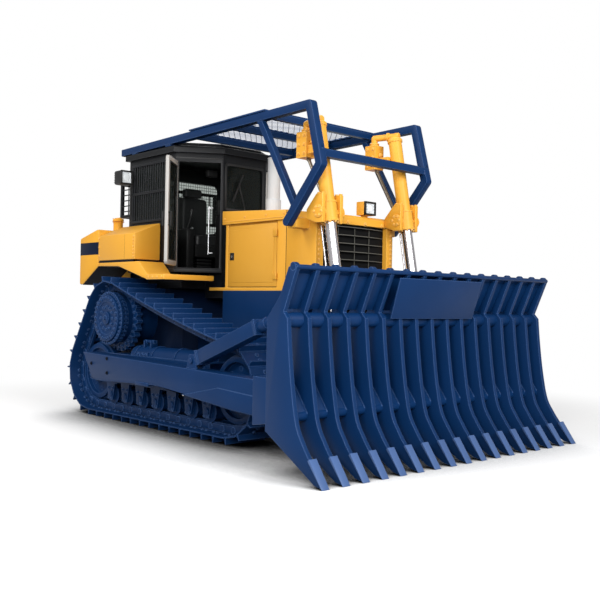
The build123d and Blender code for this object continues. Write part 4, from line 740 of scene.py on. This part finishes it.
def make_lamp(name, place, wide, tall):
    """Thick rubber bezel, bright bowl with its bulb, painted near-white as a highlight, and a ribbed lens, on a lamp's
    front face.
    """
    rim, bowl, bulb_highlight, lens = (bmesh.new() for _ in range(4))
    place, half_y, half_z = Vector(place), Y * wide / 2, Z * tall / 2
    back, front, lip = place - X * 0.01, place + X * 0.018, 0.019
    for way in (-1, 1):
        cuboid(rim, back + half_y * way - half_z, front + (half_y - Y * lip) * way + half_z, SOFT)
        cuboid(rim, back - half_y + half_z * way, front + half_y + (half_z - Z * lip) * way, SOFT)
    corner, floor = half_y + half_z - (Y + Z) * 0.02, place + X * 0.003
    cuboid(bowl, place - corner, floor + corner)
    # the bulb's near-white colour is a painted highlight
    bar(bulb_highlight, floor, place + X * 0.011, tall * 0.27, 32, tip=tall * 0.2, edge=FINE)
    first_rib = place + X * 0.006 - half_y - half_z + Y * 0.03 + Z * 0.024
    bars(lens, row(9, first_rib, Y * (wide - 0.06) / 8), Z * (tall - 0.048), 0.0032, 10)
    piece(name + "_bezel", rim, RUBBER)
    piece(name + "_bowl", bowl, BOWL)
    piece(name + "_bulb", bulb_highlight, LENS)
    piece(name + "_lens", lens, LENS)


def make_work_lamps():
    """Moulded housings behind the cab, on stalks from its corners, with cooling ribs on the back."""
    mesh = bmesh.new()
    for side in (-1, 1):
        y = side * 1.0
        cuboid(mesh, (CAB_REAR_X - 0.03, y - 0.09, 3.115), (CAB_REAR_X + 0.15, y + 0.09, 3.305), 0.024)
        for rib in row(5, (CAB_REAR_X - 0.05, y - 0.075, 3.145), Z * 0.032):
            cuboid(mesh, rib, rib + at(0.03, 0.15, 0.012), FINE)
        stalk = at(CAB_REAR_X + 0.085, 0, 3.2)
        flat_bar(mesh, stalk + Y * side * (CAB_SIDE_Y - 0.002), stalk + Y * side * 0.93, 0.05, 0.05, ROUND)
        make_lamp(f"work_lamp_{'left' if side > 0 else 'right'}", (CAB_REAR_X + 0.15, y, 3.21), 0.176, 0.186)
    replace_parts(piece("work_lamp_housings", mesh, PLASTIC), "rear_lamps")


# ---- cab
def make_window_guards():
    """Upright bars over the side windows, wire mesh over the rear one and a cage behind it."""
    mesh = bmesh.new()
    x0, x1, z0, z1 = CAB_REAR_X + 0.11, CAB_REAR_X + 1.01, 2.61, 3.37
    for side in (-1, 1):
        y = side * (CAB_SIDE_Y + 0.016)
        bars(mesh, row(17, (x0, y, z0), X * (x1 - x0) / 16), Z * (z1 - z0), 0.0065, 8)
        for z in (z0, (z0 + z1) / 2, z1):
            cuboid(mesh, (x0 - 0.02, side * (CAB_SIDE_Y - 0.001), z - 0.014), (x1 + 0.02, y + side * 0.008, z + 0.014),
                   FINE)
    x, cell, wire = CAB_REAR_X - 0.014, 0.04, 0.0035
    bars(mesh, row(33, (x, -0.64, 2.54), Y * cell), Z * 0.74, wire, 6)
    bars(mesh, row(19, (x - 0.006, -0.65, 2.55), Z * cell), Y * 1.3, wire, 6)
    # cage behind the rear window
    back, half, low, high, rod = CAB_REAR_X - 0.29, 0.8, 2.72, 3.17, 0.008
    for y in (-half, half):
        flat_bar(mesh, (back, y, low - 0.02), (back, y, high + 0.02), 0.05, 0.04, SOFT)
        for z in (low, high):
            flat_bar(mesh, (back, y, z), (CAB_REAR_X + 0.02, y, z), 0.03, 0.04, SOFT)
        bars(mesh, row(5, (back, y, low + 0.07), Z * 0.075), X * (CAB_REAR_X - back), rod, 8)
    for z in (low, high):
        flat_bar(mesh, (back, -half, z), (back, half, z), 0.03, 0.04, SOFT)
    bars(mesh, row(11, (back, -0.7, low), Y * 0.14), Z * (high - low), rod, 8)
    piece("window_guards", mesh, BLACK)


def make_cab_fittings():
    """Windscreen gasket and wiper, rain rails and pipes, levers and displays; a grab rail and bright lever."""
    black, bright = bmesh.new(), bmesh.new()
    face, half, low, high, gasket = CAB_FRONT_X, 0.31, 2.75, 3.33, 0.016
    for y in (-half, half):
        cuboid(black, (face - 0.004, y - gasket, low), (face + 0.01, y + gasket, high), SOFT)
    for z in (low, high):
        cuboid(black, (face - 0.004, -half, z - gasket), (face + 0.01, half, z + gasket), SOFT)
    wiper = at(face, 0.02, 2.7)
    bar(black, wiper + X * 0.02, (face + 0.03, -0.12, 3.1), 0.008, 8)
    flat_bar(black, (face + 0.014, -0.2, 2.86), (face + 0.014, -0.04, 3.22), 0.012, 0.02)
    bar(black, wiper - X * 0.002, wiper + X * 0.035, 0.022, 16)
    for side in (-1, 1):
        rear = at(CAB_CORNER_X, side * CAB_SIDE_Y, 3.39)
        front = at(CAB_FRONT_X, side * CAB_FRONT_Y, 3.39)
        out = (front - rear).cross(Z * side).normalized() * 0.012
        flat_bar(black, rear + out, front + out, 0.03, 0.022, SOFT)
        pipe = at(CAB_REAR_X + 0.085, side * (CAB_SIDE_Y + 0.03), 3.11)
        bar(black, pipe, pipe - Z * 0.41, 0.012, 12)
        # control lever and its knob
        bar(black, (-1.42, side * 0.36, 2.52), (-1.36, side * 0.34, 2.7), 0.012, 12)
        bar(black, (-1.36, side * 0.34, 2.69), (-1.345, side * 0.335, 2.8), 0.026, 16, tip=0.02, edge=ROUND)
    cuboid(black, (-0.98, -0.2, 2.7), (-0.94, 0.08, 2.9), 0.01)
    cuboid(black, (-1.02, -0.36, 3.2), (-0.96, -0.2, 3.29), 0.01)
    piece("cab_fittings", black, PLASTIC)
    rail = at(AXLE_X + 1.12, -0.47, 2.16)
    bar(bright, rail, rail + Z * 0.62, 0.009, 12)
    for foot in row(2, rail + Z * 0.02, Z * 0.58):
        bar(bright, foot, foot + at(0.03, 0.045, 0), 0.008, 10)
    bar(bright, (-1.45, -0.3, 2.5), (-1.45, -0.25, 2.56), 0.02, 14)
    piece("cab_bright_rails", bright, STEEL)


def cushion(name, low, high, dip):
    """A crowned pad between two corners, rounded off, with a groove `dip` deep between its middle and each side."""
    mesh = bmesh.new()
    low, high = Vector(low), Vector(high)
    cuboid(mesh, low, high)
    bmesh.ops.subdivide_edges(mesh, edges=mesh.edges, cuts=9, use_grid_fill=True)
    for _ in range(5):
        bmesh.ops.smooth_vert(mesh, verts=mesh.verts, factor=0.5, use_axis_x=True, use_axis_y=True, use_axis_z=True)
    centre, half = (low + high) / 2, (high - low) / 2
    groove_at, groove_wide = 0.55, 0.06
    for v in mesh.verts:
        share = abs((v.co - centre).y / half.y)
        groove = math.exp(-(((share - groove_at) / groove_wide) ** 2))
        v.co = centre + (v.co - centre) * (1 - dip * groove)
    made = piece(name, mesh, VINYL, sharp=60)
    return made


def make_seat():
    """Cushion, backrest and head rest on a plain pan and suspension."""
    pan = bmesh.new()
    cuboid(pan, (-1.83, -0.215, 2.16), (-1.42, 0.215, 2.33), 0.02)
    for fold in row(4, (-1.78, -0.125, 1.975), Z * 0.045):
        cuboid(pan, fold, fold + at(0.28, 0.25, 0.035), 0.012)
    cuboid(pan, (-1.885, -0.2, 2.4), (-1.855, 0.2, 3.02), 0.012)
    bars(pan, row(2, (-1.865, -0.05, 3.0), Y * 0.1), Z * 0.08, 0.007, 10)
    piece("seat_pan", pan, PLASTIC)
    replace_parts(cushion("seat_cushion", (-1.85, -0.22, 2.31), (-1.39, 0.22, 2.47), 0.04), "seat")
    cushion("seat_backrest", (-1.875, -0.21, 2.44), (-1.745, 0.21, 3.01), 0.03)
    cushion("seat_headrest", (-1.89, -0.14, 3.02), (-1.79, 0.14, 3.14), 0.0)


def door_axes(side, turn):
    """The door's hinge pin, its run along the leaf and its outward direction."""
    hinge = at(CAB_CORNER_X, side * CAB_SIDE_Y, 0)
    shut = (at(CAB_FRONT_X, side * CAB_FRONT_Y, 0) - hinge).normalized()
    square = Matrix.Rotation(math.radians(90 * side), 3, "Z")
    run = Matrix.Rotation(math.radians(turn), 3, "Z") @ shut
    return hinge + square @ shut * DOOR_PIN_OUT, run, square @ run


def make_cab_door(word, side):
    """Rubber seals round the pane, inside and out, and a handle on each face."""
    pin, run, out = door_axes(side, DOOR_TURN[word])
    seals = bmesh.new()
    low, high, near, far = LEAF_LOW + LEAF_STILE, LEAF_HIGH - LEAF_STILE, LEAF_START + LEAF_STILE, LEAF_END - LEAF_STILE
    face, lap = LEAF_FACE - DOOR_PIN_OUT, 0.008
    for depth in (face - 0.004, face - 0.036):
        base = pin + out * depth
        for reach in (near + lap, far - lap):
            upright = base + run * reach
            flat_bar(seals, upright + Z * low, upright + Z * high, 0.02, 0.012, FINE)
        for z in (low + lap, high - lap):
            flat_bar(seals, base + run * near + Z * z, base + run * far + Z * z, 0.012, 0.02, FINE)
    grip = pin + run * (LEAF_END - 0.03) + Z * 2.55
    for depth, way in ((face, 1), (face - 0.04, -1)):
        root, stand = grip + out * depth, out * 0.03 * way
        bar(seals, root + stand - Z * 0.09, root + stand + Z * 0.09, 0.011, 12, edge=FINE)
        for foot in row(2, root - Z * 0.075, Z * 0.15):
            bar(seals, foot + stand, foot, 0.009, 10)
    piece(f"cab_door_seals_{word}", seals, RUBBER, f"cab_door_{word}_body")


# ---- guards
def on_rail(x, y=0.0, z=0.0):
    """A place over the middle line of the sweeps' sloping rails."""
    share = (x - RAIL_REAR.x) / (RAIL_TOP.x - RAIL_REAR.x)
    return at(x, y, z + RAIL_REAR.z + share * (RAIL_TOP.z - RAIL_REAR.z))


def make_screen():
    """Expanded metal in a frame of flats, over the rails of the sweeps."""
    mesh = bmesh.new()
    x0, x1 = SCREEN_REAR_X, SCREEN_FRONT_X
    half, top = SWEEP_Y - TUBE / 2 - 0.0003, TUBE / 2
    for x in (x0, (x0 + x1) / 2, x1):
        cuboid(mesh, on_rail(x, -half, -0.035) - X * 0.035, on_rail(x, half, 0.035) + X * 0.035, ROUND)
        cuboid(mesh, on_rail(x, -half, 0.034) - X * 0.02, on_rail(x, half, top + 0.012) + X * 0.02, FINE)
    for side in (-1, 1):
        rear, front = (on_rail(x, side * SWEEP_Y, top + 0.0095) for x in (x0, x1))
        flat_bar(mesh, rear, front, TUBE + 0.03, 0.017, FINE)
        bolts(mesh, [rear.lerp(front, (i + 0.5) / 8) + Z * 0.0085 for i in range(8)], Z, M18)
    pitch = (x1 - x0) / SCREEN_ROWS
    for line in range(SCREEN_ROWS):
        for way in (-1, 1):
            points = []
            for k in range(2 * SCREEN_CELLS + 1):
                x = x0 + pitch * (line + 0.5 + (0.5 - k % 2) * way)
                points.append(on_rail(x, half * (k / SCREEN_CELLS - 1), top + 0.009))
            strip(mesh, points, 0.006, 0.005)
    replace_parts(piece("roof_screen_mesh", mesh, NAVY), "roof_screen")


# ---- lift cylinders
def on_cylinder(side, down):
    """A place on a lift cylinder's axis, `down` from the yoke's trunnion."""
    return YOKE + Y * side * CYL_Y + DOWN * down


def make_barrel_fittings(word, side):
    """Gland ring and collars, the valve block's plugs and screws, and the pipes that join them."""
    body = f"lift_barrel_{word}"
    barrel, elbow, pipe = bmesh.new(), bmesh.new(), bmesh.new()
    for start, end, radius in ((0.085, 0.113, 0.098), (-0.115, -0.095, 0.096), (-0.99, -0.955, 0.088)):
        bar(barrel, on_cylinder(side, start), on_cylinder(side, end), radius, 40, edge=SOFT)
    bolts(barrel, ring(on_cylinder(side, 0.113), 8, 0.08, u=DOWN.cross(Y), v=Y), DOWN, M14)
    top = on_cylinder(side, -0.985)
    valve = at(top.x - 0.265, side * (CYL_Y - 0.065), 3.307)
    for out in (-Y, Y):
        for x in (-0.045, 0.045):
            bolts(barrel, row(3, valve + out * 0.075 + at(x, 0, -0.1), Z * 0.1), out, M18)
    for plug in row(2, valve + at(0.08, 0, -0.09), Z * 0.12):
        bar(barrel, plug, plug + X * 0.02, 0.026, 20, edge=FINE)
        bolt(barrel, plug + X * 0.02, X, M18)
    # flanges of the bent pipe, the cast elbow at its turn, and the pipe from the block down to the gland
    for z in (3.455, 3.475):
        flange = at(valve.x, valve.y, z)
        bar(barrel, flange - Z * 0.009, flange + Z * 0.009, 0.056, 28, edge=FINE)
    turn = at(top.x, top.y, 3.545)
    run = (turn - at(valve.x, valve.y, turn.z)).normalized()
    bar(barrel, turn - run * 0.1, turn - run * 0.075, 0.052, 28, edge=FINE)
    bar(barrel, turn, turn + run * 0.055, 0.042, 24, edge=ROUND)
    bar(elbow, turn - Z * 0.042, turn + Z * 0.008, 0.072, 36, tip=0.054, edge=0.012)
    start = valve + at(0.03, 0, -0.13)
    end = on_cylinder(side, -0.09) + CYL_BACK * 0.079 - Y * side * 0.055
    bar(pipe, start, end, 0.019, 20)
    for share in (0.03, 0.93):
        bar(pipe, start.lerp(end, share), start.lerp(end, share + 0.04), 0.027, 6, edge=0.002)
    piece(f"cylinder_fittings_{word}", barrel, YELLOW, body)
    piece(f"cylinder_elbow_{word}", elbow, YELLOW, body)
    piece(f"cylinder_pipe_{word}", pipe, TUBE_STEEL, body)


def make_yoke_caps(word, side):
    """Trunnion caps outside the yoke's cheeks, studs on top of the cheeks and bolts of its foot."""
    caps = bmesh.new()
    trunnion = on_cylinder(side, 0)
    for way in (-1, 1):
        bolted_cap(caps, trunnion + Y * way * CHEEK_OUT, Y * way * 0.014, 0.07, 36, 6, 0.05, M12)
        bars(caps, row(2, trunnion + at(-0.02, way * 0.131, 0.186), X * 0.06), Z * 0.016, 0.02, 16, edge=FINE)
    for z in (2.475, 2.505):
        bolts(caps, row(2, (GUARD_FRONT_X + 0.03, trunnion.y - 0.08, z), Y * 0.16), X, M13)
    piece(f"yoke_caps_{word}", caps, YELLOW)


def make_position_rod(word, side):
    """The thin rod behind each lift rod, and the arm that ties it to the lift rod's end."""
    sense = bmesh.new()
    aside = Y * side * 0.02
    low = on_cylinder(side, 1.4)
    bar(sense, on_cylinder(side, 0.12) + CYL_BACK * 0.118 + aside, low + CYL_BACK * 0.118 + aside, 0.011, 16)
    bar(sense, low + CYL_BACK * 0.125 + aside, low + CYL_BACK * 0.02, 0.016, 12)
    piece(f"position_rod_{word}", sense, CHROME, f"lift_rod_{word}")


for make in (make_painted_shade_sheets, make_body_fittings, make_grille, make_window_guards, make_cab_fittings, make_seat,
             make_screen, make_work_lamps, make_rake, make_stack):
    make()
make_lamp("head_lamp", (GUARD_FRONT_X - 0.005, 0.22, 2.658), 0.18, 0.156)
for make in (make_chain, make_undercarriage, make_arm_fittings, make_rake_pins, make_engine_door, make_cab_door,
             make_barrel_fittings, make_yoke_caps, make_position_rod):
    for word, side in SIDES:
        make(word, side)


# ---- floor, world and lamps
PAPER, BOUNCE, PAINTED_SHADOW_COLOUR = "FCFCFC", "9C9C9C", "0A0A0C"  # the floor as seen, as it lights the machine, and the painted shadow right under it
FLOOR_RADIUS, FADE_START, FADE_END = 120, 4.0, 7.5
SHADE_REACH, SHADE_DARK, SHADE_CLEAR = 1.6, 0.25, 0.92  # how far the machine darkens the floor with painted shadow, and the open shares
WORLD_LEVEL = 0.45
LAMP_TARGET = at(0, 0, 1.5)
SOFT_BOXES = (  # name, place, width, watts
    ("key", (-2.0, -9.5, 9.0), 5, 700),
    ("front", (11.5, -1.0, 6.5), 5, 900),
    ("fill", (8.0, -9.0, 4.5), 4, 750),
    ("back", (-9.0, 6.0, 8.0), 5, 300),
)


def make_stage():
    """A white floor that keeps the shadow, with a painted shadow darkening it close round the machine, and fades into a
    white background.
    """
    mesh = bmesh.new()
    bmesh.ops.create_circle(mesh, cap_ends=True, segments=64, radius=FLOOR_RADIUS)
    m, place = new_material("white_paper_floor")
    reach = add(m, "VectorMath", {"operation": "LENGTH"}, "Value", Vector=place)
    far = add(m, "MapRange", SMOOTH, Value=reach, From_Min=FADE_START, From_Max=FADE_END)
    path = add(m, "LightPath", out=None).outputs
    seen = add(m, "Math", MAXIMUM, i0=path["Is Camera Ray"], i1=path["Is Glossy Ray"])
    seen = add(m, "Math", MAXIMUM, i0=seen, i1=path["Is Transmission Ray"])
    share = add(m, "Math", MULTIPLY, i0=far, i1=seen)
    paper = add(m, "Mix", RGBA, 2, Factor=seen, i6=linear(BOUNCE), i7=linear(PAPER))
    # painted shadow: the floor darkens towards near black where ambient occlusion finds the machine close over it
    sky = add(m, "AmbientOcclusion", {"samples": 8}, "AO", Distance=SHADE_REACH)
    under = add(m, "MapRange", SMOOTH, Value=sky, From_Min=SHADE_DARK, From_Max=SHADE_CLEAR)
    paper = add(m, "Mix", RGBA, 2, Factor=under, i6=linear(PAINTED_SHADOW_COLOUR), i7=paper)
    near = add(m, "BsdfDiffuse", Color=paper)
    white = add(m, "Emission", Color=WHITE)
    both = add(m, "MixShader", i0=share, i1=near, i2=white)
    add(m, "OutputMaterial", out=None, Surface=both)
    stand("floor", mesh, m)


def make_world():
    """White for what is seen, a softer level for the light it gives."""
    world = bpy.data.worlds.new("studio")
    SCENE.world = world
    world.use_nodes = True
    world.node_tree.nodes.clear()
    path = add(world, "LightPath", out=None).outputs
    seen = add(world, "Math", MAXIMUM, i0=path["Is Camera Ray"], i1=path["Is Transmission Ray"])
    lit = add(world, "Background", Color=WHITE, Strength=WORLD_LEVEL)
    white = add(world, "Background", Color=WHITE)
    mixed = add(world, "MixShader", i0=seen, i1=lit, i2=white)
    add(world, "OutputWorld", out=None, Surface=mixed)


def soft_box(name, place, width, power):
    """A square area lamp turned to the machine."""
    data = bpy.data.lights.new(name, "AREA")
    data.shape = "RECTANGLE"
    data.size = data.size_y = width
    data.energy = power
    aim = (LAMP_TARGET - Vector(place)).to_track_quat("-Z", "Y").to_matrix().to_4x4()
    put(name, data).matrix_world = Matrix.Translation(place) @ aim


make_stage()
make_world()
for box in SOFT_BOXES:
    soft_box(*box)
SCENE.view_settings.view_transform = "Standard"
